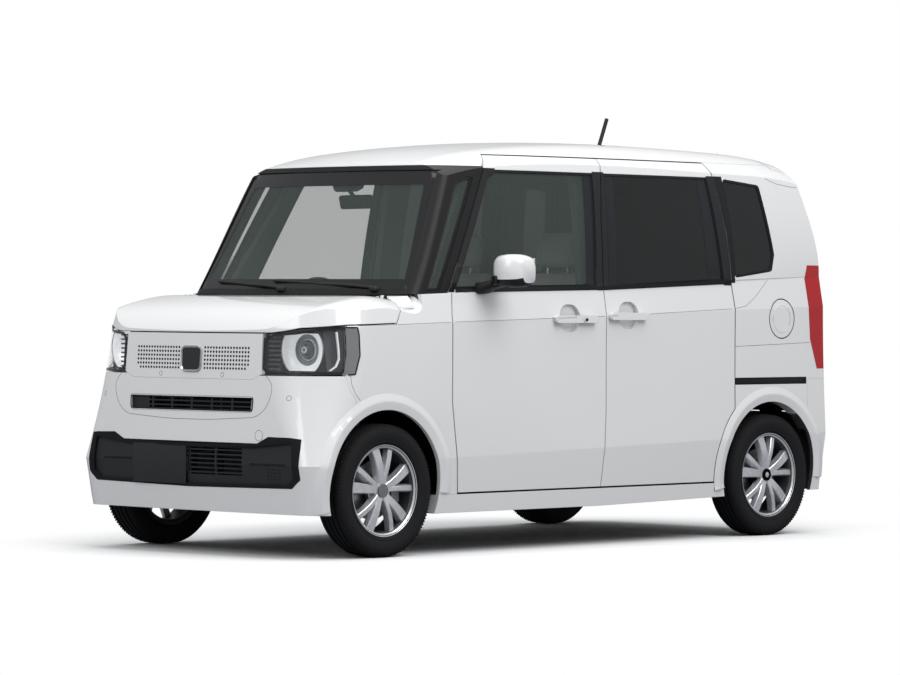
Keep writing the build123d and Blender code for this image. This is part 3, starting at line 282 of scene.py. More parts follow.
def rounded(corners, radius, closed=True):
    """A 2-D line with its corners rounded."""
    line = []
    count = len(corners)
    for i, corner in enumerate(corners):
        here = Vector(corner)
        if not closed and i in (0, count - 1):
            line.append(here)
            continue
        before, after = Vector(corners[i - 1]), Vector(corners[(i + 1) % count])
        reach = min(radius, (before - here).length * 0.45, (after - here).length * 0.45)
        start = here + (before - here).normalized() * reach
        end = here + (after - here).normalized() * reach
        for step in range(CORNER_STEPS + 1):
            t = step / CORNER_STEPS
            line.append(start * (1 - t) ** 2 + here * 2 * t * (1 - t) + end * t * t)
    return line


def divided(line, step, closed):
    """A 2-D line with points no further apart than a step."""
    out = []
    count = len(line)
    for i in range(count if closed else count - 1):
        start, end = Vector(line[i]), Vector(line[(i + 1) % count])
        pieces = max(1, math.ceil((end - start).length / step))
        out.extend(start.lerp(end, k / pieces) for k in range(pieces))
    if not closed:
        out.append(Vector(line[-1]))
    return [p for i, p in enumerate(out) if i == 0 or (p - out[i - 1]).length > 0.2]


def arc(centre, radius, start, end, step=3.0):
    """A 2-D arc, by its angles in degrees."""
    count = max(2, math.ceil(abs(end - start) / step))
    angles = [math.radians(start + (end - start) * i / count) for i in range(count + 1)]
    return [Vector((centre[0] + radius * math.cos(a), centre[1] + radius * math.sin(a))) for a in angles]


def shrunk(outline, amount):
    """An outline moved inwards by the same amount along every edge."""
    middle = sum((Vector(p) for p in outline), Vector((0, 0))) / len(outline)
    out = []
    count = len(outline)
    for i in range(count):
        before, here, after = Vector(outline[i - 1]), Vector(outline[i]), Vector(outline[(i + 1) % count])
        lines = []
        for start, end in ((before, here), (here, after)):
            normal = Vector((-(end - start).y, (end - start).x)).normalized()
            if normal.dot(middle - start) < 0:
                normal = -normal
            lines.append((normal, normal.dot(start) + amount))
        (a, p), (b, q) = lines
        cross = a.x * b.y - a.y * b.x
        parallel = abs(cross) <= 1e-6
        out.append(here if parallel else Vector(((p * b.y - q * a.y) / cross, (a.x * q - b.x * p) / cross)))
    return out


def cushion_box(size, radius, steps=3):
    """A box with all its edges rounded, about the origin."""
    mesh = bmesh.new()
    bmesh.ops.create_cube(mesh, size=1.0)
    for v in mesh.verts:
        v.co = Vector(v.co[i] * size[i] for i in range(3))
    bmesh.ops.bevel(mesh, geom=mesh.edges[:], offset=radius, segments=steps, profile=0.5, affect="EDGES")
    mesh.verts.index_update()
    shape = [v.co.copy() for v in mesh.verts], [[v.index for v in f.verts] for f in mesh.faces]
    mesh.free()
    return shape


def placed(centre, turn_y=0.0, turn_z=0.0):
    """A shift after turns about the car's width and its height, in degrees."""
    turn = Matrix.Rotation(math.radians(turn_z), 4, "Z") @ Matrix.Rotation(math.radians(turn_y), 4, "Y")
    return Matrix.Translation(centre) @ turn


def rod(line, radius):
    """A round rod through 3-D points."""
    line = [Vector(p) for p in line]
    rings = []
    side = None
    for i, point in enumerate(line):
        along = (line[min(i + 1, len(line) - 1)] - line[max(i - 1, 0)]).normalized()
        if side is None:
            side = along.orthogonal().normalized()
        side = (side - along * side.dot(along)).normalized()
        other = along.cross(side)
        angles = [2 * math.pi * k / ROD_SIDES for k in range(ROD_SIDES)]
        rings.append([point + (side * math.cos(a) + other * math.sin(a)) * radius for a in angles])
    return skinned(rings)


# Panels as surfaces to lay pieces on. The eye stands this far off, and sees along one axis.

EYE = 3000.0
SIGHT_LINES = {
    "left": (lambda a, b: (a, EYE, b), (0.0, -1.0, 0.0)),
    "front": (lambda a, b: (EYE, a, b), (-1.0, 0.0, 0.0)),
    "rear": (lambda a, b: (-EYE, a, b), (1.0, 0.0, 0.0)),
}
# Where a sight line misses or grazes a surface, the surface is looked for at these distances around it.
NEARBY = (2.5, 5.0, 9.0, 16.0, 30.0, 60.0, 120.0)
GRAZING = 0.08
FULLY_SEEN = 0.2
LAST_DEPTH = 2300.0


def skin_of(names):
    """The surface of nodes of the frame, named in one string, in millimetres."""
    points, faces = [], []
    for name in names.split():
        data = NODES[name].data
        start = len(points)
        points.extend(v.co * TO_MM for v in data.vertices)
        faces.extend([start + i for i in face.vertices] for face in data.polygons)
    return BVHTree.FromPolygons(points, faces)


def beside(skin, start, direction, a, b):
    """Depth and normal of the surface just beside a hole or an edge."""
    for radius in NEARBY:
        for i in range(8):
            turn = i * math.pi / 4
            origin = Vector(start(a + radius * math.cos(turn), b + radius * math.sin(turn)))
            hit, normal, _, _ = skin.ray_cast(origin, direction)
            if hit is not None and abs(normal.dot(direction)) > FULLY_SEEN:
                return (hit - origin).dot(direction), normal
    return LAST_DEPTH, -direction


def landed(skin, view, a, b, lift=0.0):
    """The point of a surface seen at (a, b) from one side, lifted off it towards the eye."""
    start, direction = SIGHT_LINES[view]
    origin, direction = Vector(start(a, b)), Vector(direction)
    hit, normal, _, _ = skin.ray_cast(origin, direction)
    if hit is None or abs(normal.dot(direction)) < GRAZING:
        depth, normal = beside(skin, start, direction, a, b)
        hit = origin + direction * depth
    if normal.dot(direction) > 0:
        normal = -normal
    return hit + (normal - direction).normalized() * lift


def strip(line, section, skin, view, closed=False, step=14.0, clear=None):
    """A bar laid along a 2-D line on a surface; its section is (across the line, off the surface).

    Nearer to the line than clear, where the surface may end, it takes the height found at clear.
    """
    line = divided(line, step, closed)
    count = len(line)
    clear_side = sum(off for off, _ in section)
    start, _ = SIGHT_LINES[view]
    rings = []
    for i, point in enumerate(line):
        before = line[i - 1] if closed or i else point
        after = line[(i + 1) % count] if closed or i < count - 1 else point
        along = (after - before).normalized()
        across = Vector((-along.y, along.x))
        sideways = Vector(start(across.x, across.y)) - Vector(start(0.0, 0.0))
        ring = []
        for off, lift in section:
            reach = off if clear is None or abs(off) > clear else math.copysign(clear, clear_side)
            spot = point + across * reach
            ring.append(landed(skin, view, spot.x, spot.y, lift) + sideways * (off - reach))
        rings.append(ring)
    return skinned(rings, closed)


def strap(outer, inner, lift, depth, skin, view):
    """A flat surround between an outer and an inner outline with the same number of corners."""
    rings = []
    for i in range(len(outer)):
        j = (i + 1) % len(outer)
        a, b = Vector(outer[i]), Vector(outer[j])
        c, d = Vector(inner[i]), Vector(inner[j])
        pieces = max(1, math.ceil((b - a).length / 16.0))
        for k in range(pieces):
            out_spot, in_spot = a.lerp(b, k / pieces), c.lerp(d, k / pieces)
            across = [out_spot.lerp(in_spot, t) for t in (0.0, 0.25, 0.5, 0.75, 1.0)]
            top = [landed(skin, view, p.x, p.y, lift) for p in across]
            under = [landed(skin, view, p.x, p.y, lift - depth) for p in reversed(across)]
            rings.append(top + under)
    return skinned(rings, closed=True)


def film(outline, lift, depth, skin, view, cell=22.0):
    """A thin sheet with a given outline, laid on a surface."""
    mesh = bmesh.new()
    mesh.faces.new([mesh.verts.new((p[0], p[1], 0.0)) for p in outline])
    for axis in (0, 1):
        low, high = min(p[axis] for p in outline), max(p[axis] for p in outline)
        for i in range(1, math.ceil((high - low) / cell)):
            spot, normal = [0.0, 0.0, 0.0], [0.0, 0.0, 0.0]
            spot[axis], normal[axis] = low + i * cell, 1.0
            everything = mesh.verts[:] + mesh.edges[:] + mesh.faces[:]
            bmesh.ops.bisect_plane(mesh, geom=everything, plane_co=spot, plane_no=normal)
    bmesh.ops.triangulate(mesh, faces=[f for f in mesh.faces if len(f.verts) > 4])
    mesh.verts.ensure_lookup_table()
    mesh.verts.index_update()
    flat = [v.co.xy for v in mesh.verts]
    faces = [[v.index for v in f.verts] for f in mesh.faces]
    rim = [[v.index for v in e.verts] for e in mesh.edges if len(e.link_faces) == 1]
    mesh.free()
    count = len(flat)
    top = [landed(skin, view, p.x, p.y, lift) for p in flat]
    under = [landed(skin, view, p.x, p.y, lift - depth) for p in flat]
    walls = [[i, j, j + count, i + count] for i, j in rim]
    return top + under, faces + [[i + count for i in reversed(face)] for face in faces] + walls


# Pieces.

def in_scene(name, data):
    """A new object of the scene."""
    thing = bpy.data.objects.new(name, data)
    SCENE.collection.objects.link(thing)
    return thing


def make(name, finishes, body, replaces=(), crease=35.0, slot=None):
    """Builds a piece from (shape, material) pairs and puts it on its body."""
    data = bpy.data.meshes.new(name)
    mesh = bmesh.new()
    for index, (shape, material) in enumerate(finishes):
        data.materials.append(material)
        points, faces = shape
        verts = [mesh.verts.new(Vector(p) * MM) for p in points]
        for face in faces:
            if len(set(face)) < 3:
                continue
            made = mesh.faces.new([verts[i] for i in face])
            made.material_index = index
            made.smooth = True
    bmesh.ops.remove_doubles(mesh, verts=mesh.verts[:], dist=0.00002)
    bmesh.ops.recalc_face_normals(mesh, faces=mesh.faces[:])
    mesh.to_mesh(data)
    mesh.free()
    data.set_sharp_from_angle(angle=math.radians(crease))
    piece = in_scene(name, data)
    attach(piece, body)
    if replaces:
        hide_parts(*replaces)
    return piece


def on_both_sides(name, finishes, body, replaces=(), **more):
    """A piece on the left and its mirror image on the right; names that end in _left get their twins."""
    make(name + "_left", finishes, body, replaces, **more)
    make(name + "_right", [(mirrored(shape), material) for shape, material in finishes],
         body.replace("_left", "_right"), [node.replace("_left", "_right") for node in replaces], **more)


# Repeats, grown by Geometry Nodes.

def grown(name, tree, inputs, points, body):
    """Runs a node tree over some points, with its named inputs set, and keeps the result as a mesh."""
    data = bpy.data.meshes.new(name + "_points")
    data.from_pydata([Vector(p) * MM for p in points], [], [])
    seed = in_scene(name + "_seed", data)
    modifier = seed.modifiers.new("repeat", "NODES")
    modifier.node_group = tree
    sockets = {s.name: s.identifier for s in tree.interface.items_tree if s.in_out == "INPUT"}
    for key, value in inputs.items():
        modifier[sockets[key]] = value
    bpy.context.view_layer.update()
    graph = bpy.context.evaluated_depsgraph_get()
    mesh = bpy.data.meshes.new_from_object(seed.evaluated_get(graph), preserve_all_data_layers=True,
                                           depsgraph=graph)
    bpy.data.objects.remove(seed)
    mesh.name = name
    piece = in_scene(name, mesh)
    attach(piece, body)
    return piece


def repeat_tree(name, **sockets):
    """A tree with some inputs that sets copies of a shape, still to be given, on points still to be given."""
    tree = bpy.data.node_groups.new(name, "GeometryNodeTree")
    for socket, kind in {"Geometry": "Geometry", **sockets, "Finish": "Material"}.items():
        tree.interface.new_socket(socket, in_out="INPUT", socket_type="NodeSocket" + kind)
    tree.interface.new_socket("Geometry", in_out="OUTPUT", socket_type="NodeSocketGeometry")
    added(tree, start="NodeGroupInput", spread="GeometryNodeInstanceOnPoints",
          real="GeometryNodeRealizeInstances", finish="GeometryNodeSetMaterial", end="NodeGroupOutput")
    wire(tree, ("spread", "Instances", "real", "Geometry"), ("real", "Geometry", "finish", "Geometry"),
         ("start", "Finish", "finish", "Material"), ("finish", "Geometry", "end", "Geometry"))
    return tree


def small_tree(name, shape):
    """A tree that sets a small peg or block on every point it is given."""
    tree = repeat_tree(name, Length="Float", Width="Float", Height="Float", Turn="Vector")
    if shape == "peg":
        set_inputs(added(tree, solid="GeometryNodeMeshCylinder")["solid"], {"Vertices": 12})
        wire(tree, ("start", "Width", "solid", "Radius"), ("start", "Length", "solid", "Depth"))
    else:
        added(tree, solid="GeometryNodeMeshCube", size="ShaderNodeCombineXYZ")
        wire(tree, ("start", "Length", "size", "X"), ("start", "Width", "size", "Y"),
             ("start", "Height", "size", "Z"), ("size", "Vector", "solid", "Size"))
    wire(tree, ("start", "Geometry", "spread", "Points"), ("solid", "Mesh", "spread", "Instance"),
         ("start", "Turn", "spread", "Rotation"))
    return tree


def wheel_tree(name):
    """A tree that sets blocks at even steps round an axle that runs across the car."""
    tree = repeat_tree(name, Count="Int", Radius="Float", Size="Vector", Lean="Float")
    nodes = added(tree, block="GeometryNodeMeshCube", where="ShaderNodeCombineXYZ", tilt="ShaderNodeCombineXYZ",
                  out="GeometryNodeTransform", amount="GeometryNodeDuplicateElements", share="ShaderNodeMath",
                  angle="ShaderNodeMath", turn="ShaderNodeCombineXYZ")
    nodes["amount"].domain = "POINT"
    nodes["share"].operation = "DIVIDE"
    nodes["angle"].operation = "MULTIPLY"
    set_inputs(nodes["angle"], {1: 2 * math.pi})
    wire(tree, ("start", "Size", "block", "Size"), ("start", "Radius", "where", "Z"),
         ("start", "Lean", "tilt", "X"), ("block", "Mesh", "out", "Geometry"),
         ("where", "Vector", "out", "Translation"), ("tilt", "Vector", "out", "Rotation"),
         ("start", "Geometry", "amount", "Geometry"),
         ("start", "Count", "amount", "Amount"), ("amount", "Duplicate Index", "share", 0),
         ("start", "Count", "share", 1), ("share", "Value", "angle", 0), ("angle", "Value", "turn", "Y"),
         ("amount", "Geometry", "spread", "Points"), ("out", "Geometry", "spread", "Instance"),
         ("turn", "Vector", "spread", "Rotation"))
    return tree


PEGS = small_tree("pegs_on_points", "peg")
BLOCKS = small_tree("blocks_on_points", "block")
RING_OF_BLOCKS = wheel_tree("blocks_round_an_axle")


# Wheels and tyres.

SPOKE_PAIRS = 5
PAIR_ANGLE = 91.5
# Each spoke of a pair: its angle from the pair's middle at the hub and at the rim, its widths there.
PAIR_OF_SPOKES = [(9.0, 15.0, 20.0, 27.0), (-11.0, -14.5, 30.0, 46.0)]
SPOKE_START = 30.0
SPOKE_END = 189.0
TYRE_SECTION = [
    (60, 193), (67, 197), (69, 204), (75, 218), (78, 236), (77, 250), (73, 262), (67, 270), (58, 275.5),
    (48, 277.6), (44, 277.8), (43, 271), (35, 271), (34, 278.2), (18, 278.5), (17, 271.5), (9, 271.5),
    (8, 278.5), (-8, 278.5), (-9, 271.5), (-17, 271.5), (-18, 278.5), (-34, 278.2), (-35, 271), (-43, 271),
    (-44, 277.8), (-58, 275.5), (-67, 270), (-73, 262), (-78, 236), (-75, 218), (-69, 204), (-66, 196),
    (-60, 190), (-30, 189), (30, 189),
]
SIDEWALL_BEAD = [(68, 199), (71, 201), (72, 206), (70, 208), (68, 206)]
# Blocks round each wheel: name, number, radius, distance out, size, lean in degrees, finish.
WHEEL_BLOCKS = [
    ("shoulder_ribs", 120, 267.0, 67.0, (4.4, 17.0, 8.0), -58.0, RUBBER),
    ("tread_blocks", 66, 273.6, 52.0, (7.5, 13.0, 8.6), -8.0, RUBBER),
    ("wheel_nuts", 4, 50.0, 33.0, (14.0, 12.0, 14.0), 0.0, STEEL),
]


def spoke(angle_hub, angle_rim, width_hub, width_rim):
    """One crowned spoke from the hub to the rim, about the wheel's centre, facing out along +Y."""
    rings = []
    for t in (0.0, 0.2, 0.45, 0.7, 0.88, 1.0):
        radius = SPOKE_START + (SPOKE_END - SPOKE_START) * t
        angle = math.radians(angle_hub + (angle_rim - angle_hub) * t ** 0.7)
        centre = Vector((radius * math.cos(angle), 0.0, radius * math.sin(angle)))
        across = Vector((-math.sin(angle), 0.0, math.cos(angle)))
        half = (width_hub + (width_rim - width_hub) * t) / 2
        face = 52.0 + 9.0 * math.sin(math.pi * min(1.0, t * 1.1)) - 3.0 * t
        back = face - 34.0 + 10.0 * t
        section = [(-half - 5, back), (-half, face - 3), (-half + 3, face), (half - 3, face), (half, face - 3),
                   (half + 5, back)]
        rings.append([centre + across * off + Vector((0, out, 0)) for off, out in section])
    return skinned(rings)


def wheel_shapes():
    """The bright, the shaded and the steel part of a wheel about its own centre, facing out along +Y."""
    rim = turned([(64, 186), (66, 189.5), (66.5, 193.5), (60, 193.8), (52, 180), (-50, 176), (-58, 193),
                  (-64, 193.5), (-64, 189), (-56, 171), (44, 174), (54, 181)], 64)
    lip = turned([(58, 179), (63.5, 186), (66.5, 190), (66.5, 192), (62, 188), (55, 180)], 64)
    spokes = []
    for i in range(SPOKE_PAIRS):
        middle = PAIR_ANGLE + i * 360.0 / SPOKE_PAIRS
        for at_hub, at_rim, narrow, wide in PAIR_OF_SPOKES:
            spokes.append(spoke(middle + at_hub, middle + at_rim, narrow, wide))
    hub = turned([(24, 0.2), (24, 46), (40, 46), (49, 42), (50, 30), (50, 27), (46, 27), (46, 0.2)], 40)
    cap = turned([(40, 0.2), (40, 26.5), (50, 26.5), (54, 22), (56, 12), (56.5, 0.2)], 32)
    disc = turned([(-10, 30), (-10, 118), (-4, 118), (-4, 30)], 40)
    return joined(*spokes, hub, cap, lip), rim, disc


def wheels():
    """Four wheels and tyres, each on its own hub."""
    parts = wheel_shapes()
    for name, x, side_way in (
        ("front_left", FRONT_AXLE_X, 1), ("front_right", FRONT_AXLE_X, -1),
        ("rear_left", REAR_AXLE_X, 1), ("rear_right", REAR_AXLE_X, -1),
    ):
        body = "wheel_" + name
        centre = (x, WHEEL_Y, AXLE_Z)
        shapes = [moved(part, Matrix.Translation(centre)) for part in parts]
        tyre = joined(turned(TYRE_SECTION, 96, centre), turned(SIDEWALL_BEAD, 96, centre))
        if side_way < 0:
            shapes = [mirrored(shape) for shape in shapes]
            tyre = mirrored(tyre)
        make("spoked_wheel_" + name, list(zip(shapes, (ALLOY, WHEEL_SHADE, STEEL))), body,
             replaces=["wheel_" + name], crease=28.0, slot="alloy")
        make("tyre_body_" + name, [(tyre, RUBBER)], body, replaces=["tyre_" + name], crease=50.0, slot="tyre")
        for label, count, radius, out, size, lean, finish in WHEEL_BLOCKS:
            ring = grown(f"{label}_{name}", RING_OF_BLOCKS, {
                "Count": count, "Radius": radius * MM, "Size": [s * MM for s in size],
                "Lean": math.radians(lean * side_way), "Finish": finish,
            }, [(0, 0, 0)], body)
            shift = Vector((x, side_way * WHEEL_Y + side_way * out, AXLE_Z)) * MM
            ring.data.transform(Matrix.Translation(shift))


# Trim, seals, seams and arches on both sides, drawn as the left side is seen.

FRONT_WINDOW = [(792, 1118), (524, 1605), (470, 1636), (-128, 1636), (-86, 1134)]
SLIDING_WINDOW = [(-160, 1134), (-196, 1636), (-892, 1636), (-952, 1166)]
QUARTER_WINDOW = [(-1030, 1180), (-1000, 1632), (-1262, 1608), (-1322, 1290), (-1300, 1212)]
FRONT_QUARTER = [(880, 1112), (962, 1108), (716, 1576), (640, 1604), (606, 1598)]
DOOR_WINDOWS = [(FRONT_WINDOW, "front_door_glass_left")]
BODY_WINDOWS = [
    (SLIDING_WINDOW, "sliding_door_glasses"), (rounded(QUARTER_WINDOW, 24), "quarter_glasses"),
    (FRONT_QUARTER, "front_quarter_glasses"),
]
# Black and grey films on the door frames: material, panel, outline.
FRAME_FILMS = [
    (PILLAR_GREY, "front_door_left", [(-84, 1119), (-126, 1642), (-179, 1642), (-146, 1443), (-125, 1119)]),
    (GLOSS_BLACK, "front_door_left",
     [(828, 1106), (793, 1106), (790, 1118), (522, 1605), (470, 1637), (470, 1642), (534, 1642)]),
    (PILLAR_GREY, "sliding_door_left", [(-130, 1121), (-151, 1443), (-184, 1642), (-198, 1642), (-161, 1121)]),
    (PILLAR_GREY, "sliding_door_left",
     [(-952, 1146), (-890, 1637), (-890, 1642), (-933, 1642), (-983, 1372), (-1003, 1146)]),
    (PILLAR_BLACK, "quarter_panel_left",
     [(-988, 1372), (-938, 1642), (-999, 1642), (-1032, 1158), (-1007, 1158)]),
]
# Dark bands printed on the door glasses beside the pillars: material, glass, outline.
GLASS_BANDS = [
    (PILLAR_GREY, "front_door_glass_left", [(-30, 1132), (-68, 1636), (-129, 1636), (-86, 1132)]),
    (PILLAR_GREY, "sliding_door_glasses", [(-159, 1132), (-195, 1636), (-258, 1636), (-222, 1132)]),
    (PILLAR_GREY, "sliding_door_glasses", [(-846, 1160), (-824, 1636), (-893, 1636), (-953, 1165)]),
]
# The crease along the side, one stretch for each panel.
SIDE_CREASES = [
    ([(1400, 964), (1190, 969), (858, 979)], "fender_left"),
    ([(836, 980), (309, 994), (92, 1000)], "front_door_left"),
    ([(-68, 1004), (-116, 1006)], "front_door_left"),
    ([(-142, 1007), (-176, 1008)], "sliding_door_left"),
    ([(-420, 1016), (-992, 1040)], "sliding_door_left"),
    ([(-1018, 1042), (-1090, 1052), (-1159, 1089), (-1268, 1173)], "quarter_panel_left"),
]
CREASE_SECTION = bar(1.6, 1.2, -1.0, 0.3)
FLUSH_SECTION = bar(0.9, 0.9, -1.0, 0.25)
EDGE_SECTION = [(-1.0, 1.4), (0.8, 1.4), (0.8, -24.0), (-1.0, -24.0)]
SEAL_SECTION = [(-7.0, -2.0), (-6.0, 3.5), (4.5, 4.6), (6.5, -2.0)]
BELT_SECTION = [(-9.0, -1.0), (-8.0, 3.6), (6.0, 5.0), (9.0, 1.0), (9.0, -1.0)]
REVEAL_SECTION = [(-0.5, -7.0), (0.5, -7.0), (0.5, -46.0), (-0.5, -46.0)]
FLARE_SECTION = [(-0.2, -4.0), (0.0, 0.8), (-16.0, 4.0), (-33.0, 8.4), (-37.0, 8.6), (-52.0, 3.2),
                 (-68.0, 0.2), (-68.0, -3.0)]
# Strips: name, material, section, then a line and the surface that it lies on, once or more.
BELT_STRIPS = [
    ("door_belt_strip", DULL_BLACK, BELT_SECTION, ([(786, 1114), (-126, 1130)], "front_door_left")),
    ("sliding_belt_strip", DULL_BLACK, BELT_SECTION, ([(-134, 1129), (-1002, 1162)], "sliding_door_left")),
]
SEAM_STRIPS = [
    ("quarter_seams", SATIN_GREY, FLUSH_SECTION,
     ([(-1018, 869), (-1300, 877), (-1560, 885)], "quarter_panel_left"),
     ([(-1320, 1640), (-1400, 1618), (-1500, 1607), (-1560, 1603)], "quarter_panel_left")),
    *[(f"side_crease_{index}", SHADOW_LINE, CREASE_SECTION, row) for index, row in enumerate(SIDE_CREASES)],
    ("door_front_edge", TRIM, EDGE_SECTION, ([(829, 1110), (535, 1641)], "front_door_left")),
    ("sliding_front_edge", TRIM, EDGE_SECTION,
     ([(-130, 1121), (-151, 1443), (-184, 1641)], "sliding_door_left")),
    ("fender_seam", SATIN_GREY, FLUSH_SECTION,
     ([(1449, 764), (1446, 722), (1430, 684), (1402, 654)], "fender_left front_bumper")),
]


def body_of(surface):
    """The body that carries a piece laid on a surface of the left side."""
    return "front_door_left" if surface.startswith("front_door") else "body"


def side_strips(name, material, section, lines, closed=False):
    """Strips along lines of the left side, as one piece, and their mirror image."""
    bars = [strip(line, section, skin_of(surface), "left", closed) for line, surface in lines]
    on_both_sides(name, [(joined(*bars), material)], body_of(lines[0][1]))


def side_trim():
    """Seals, films, belt strips, seams and flares on both sides."""
    for name, windows, amount, section in (
        ("door_window_seal", DOOR_WINDOWS, 6.0, SEAL_SECTION),
        ("side_window_seals", BODY_WINDOWS, 6.0, SEAL_SECTION),
        ("side_window_reveals", BODY_WINDOWS, 1.4, REVEAL_SECTION),
        ("door_window_reveal", DOOR_WINDOWS, 1.4, REVEAL_SECTION),
    ):
        lines = [(shrunk(outline, amount), glass) for outline, glass in windows]
        side_strips(name, TRIM, section, lines, closed=True)
    for name, material, section, *lines in BELT_STRIPS:
        side_strips(name, material, section, lines)
    for kind, films, lift, depth, cell in (
        ("frame_film", FRAME_FILMS, 1.1, 2.4, 14.0), ("glass_band", GLASS_BANDS, 0.8, 1.6, 40.0),
    ):
        for index, (material, surface, outline) in enumerate(films):
            sheet = film(outline, lift, depth, skin_of(surface), "left", cell)
            on_both_sides(f"{kind}_{index}", [(sheet, material)], body_of(surface))
    for name, material, section, *lines in SEAM_STRIPS:
        side_strips(name, material, section, lines)
    key = moved(turned([(-2, 0.2), (-2, 7), (2, 7), (3, 0.2)], 20), placed((39, 767, 990)))
    make("door_key_left", [(key, TRIM)], "front_door_left")
    rail = moved(cushion_box((512, 5, 29), 2), placed((-1276, 722, 710)))
    on_both_sides("sliding_rail", [(rail, TRIM)], "body")
    flares = [
        strip(arc((x, ARCH_Z), ARCH_RADIUS, low, 185), FLARE_SECTION, skin_of(surface), "left", clear=4.0)
        for x, low, surface in (
            (FRONT_AXLE_X, -16, "fender_left front_bumper"),
            (REAR_AXLE_X, -11, "quarter_panel_left rear_bumper"),
        )
    ]
    on_both_sides("arch_flares", [(joined(*flares), PAINT)], "body", crease=24.0)
    ring = strip(arc((-1353, 995), 62, 0, 354, 6), bar(3.0, 1.5, -1.0, 0.9), skin_of("fuel_lid"), "left", True)
    make("fuel_lid_ring", [(ring, PAINT)], "fuel_lid")


# Front: grille dots, badge, intakes, plate and sensors.

BUMPER_SEAM = [
    (440, 760), (480, 721), (480, 682), (454, 621), (397, 583), (127, 568),
    (-127, 568), (-397, 583), (-454, 621), (-480, 682), (-480, 721), (-440, 760),
]
INTAKE_OUTER = [
    (-590, 501), (-472, 504), (-425, 474), (0, 467), (425, 474), (472, 504), (590, 503), (640, 497), (648, 331),
    (600, 293), (0, 285), (-600, 293), (-648, 331), (-640, 497),
]
INTAKE_INNER = [
    (-580, 484), (-476, 474), (-425, 464), (0, 460), (425, 464), (476, 474), (580, 484), (606, 482), (617, 336),
    (574, 301), (0, 296), (-574, 301), (-617, 336), (-606, 482),
]
INTAKE_EDGE = [
    (-430, 475), (430, 475), (600, 495), (622, 330), (576, 296), (-576, 296), (-622, 330), (-600, 495),
]
LINER_SECTION = [(-0.6, 0.5), (0.6, 0.5), (0.6, -24.0), (-0.6, -24.0)]
GROOVE_SECTION = [(-5, -1), (-3.5, 2.2), (3.5, 0.6), (5, -1)]
BADGE = [(-56, 771), (-60, 872), (60, 872), (56, 771)]
BADGE_SECTION = [(-5, -2), (-4, 5), (2, 8), (5, 5), (5, -2)]
SLOT_RIM = [(-372, 605), (-376, 665), (376, 665), (372, 605)]
SLOT_LOW = 607
SLOT_HIGH = 663
# Small round lids and sensors: (off the middle, height), radius.
SMALL_LIDS = [((189, 757), 9), ((-189, 757), 9), ((565, 665), 10), ((-565, 665), 10), ((418, 508), 22)]
DOT_STEP = 17.2
PLATE_SIZE = (2.4, 330, 165)


def plate(name, centre, body):
    """A blank number plate."""
    make(name, [(moved(cushion_box(PLATE_SIZE, 1.1), placed(centre)), GREY_TRIM)], body)


def front_trim():
    """Everything small on the nose."""
    face = skin_of("front_bumper")
    grille = skin_of("grille_panel")
    bumper = skin_of("front_bumper front_grilles")
    nose = skin_of("front_bumper grille_panel")
    holes = [
        landed(grille, "front", side_way * (80 + DOT_STEP * column), 783 + DOT_STEP * row, 0.2)
        for side_way in (1, -1) for row in range(6) for column in range(16) if (row, column) != (0, 15)
    ]
    peg = {"Length": 0.0012, "Width": 0.0052, "Turn": (0, math.pi / 2, 0), "Finish": GLOSS_BLACK}
    grown("grille_dots", PEGS, peg, holes, "body")
    dots = [landed(bumper, "front", 460 + 16.5 * i, 315 + 13.5 * j, 0.3) for i in range(5) for j in range(5)]
    grown("intake_dots", PEGS, {**peg, "Width": 0.0040}, dots, "body")
    badge = rounded(BADGE, 26)
    badge_ring = strip(badge, BADGE_SECTION, grille, "front", True, 6.0)
    field = film(badge, 3.0, 5.0, grille, "front", 12.0)
    make("badge_frame", [(badge_ring, CHROME), (field, GLOSS_BLACK)], "body")
    lines = [strip(rounded(BUMPER_SEAM, 60, closed=False), FLUSH_SECTION, face, "front")]
    for centre, radius in SMALL_LIDS:
        lines.append(strip(arc(centre, radius, 0, 345, 15), bar(0.8, 0.8, -1.0, 0.3), nose, "front", True, 8.0))
    make("bumper_seams", [(joined(*lines), SATIN_GREY)], "body")
    surround = strap(INTAKE_OUTER, shrunk(INTAKE_INNER, 5.0), 1.6, 6.0, face, "front")
    liner = strip(shrunk(INTAKE_EDGE, 1.0), LINER_SECTION, face, "front", True, 8.0)
    slot_rim = strip(rounded(SLOT_RIM, 14), bar(4, 3, -3, 1.2), bumper, "front", True)
    grooves = [strip(line, GROOVE_SECTION, bumper, "front")
               for line in ([(-550, 393), (-368, 393)], [(360, 389), (560, 389)])]
    # In the slot: a blank grey panel, a near-black sheet as painted shade across most of the slot, and a divider.
    blank, shadow, divider = [
        film(oblong(left, SLOT_LOW, right, SLOT_HIGH), lift, 3, bumper, "front", 12.0)
        for left, right, lift in ((-362, -268, -1.0), (14, 362, -1.0), (176, 182, 0.4))
    ]
    make("intake_surround", [
        (joined(surround, liner, *grooves), DULL_BLACK), (joined(slot_rim, divider), TRIM), (blank, GREY_TRIM),
        (shadow, UNDERBODY_BLACK_AND_SHADE),
    ], "body")
    comb = [landed(bumper, "front", -8, 356 + 10.5 * i, 2.0) for i in range(10)]
    slats = [(1655, 181, z) for z in range(306, 456, 9)]
    for name, points, length, width, height, finish in (
        ("comb_ribs", comb, 0.010, 0.016, 0.0048, TRIM),
        ("radiator_slats", slats, 0.006, 0.340, 0.003, GREY_TRIM),
    ):
        size = {"Length": length, "Width": width, "Height": height, "Finish": finish}
        grown(name, BLOCKS, size, points, "body")
    plate("front_plate", (1691.0, -180, 377), "body")


# Headlamps and tail lamps.

RING_CENTRE = (1530.0, 534.0, 863.0)
RING_TURN = 4.0
RING_LOW = 776.0
RING_HIGH = 931.0
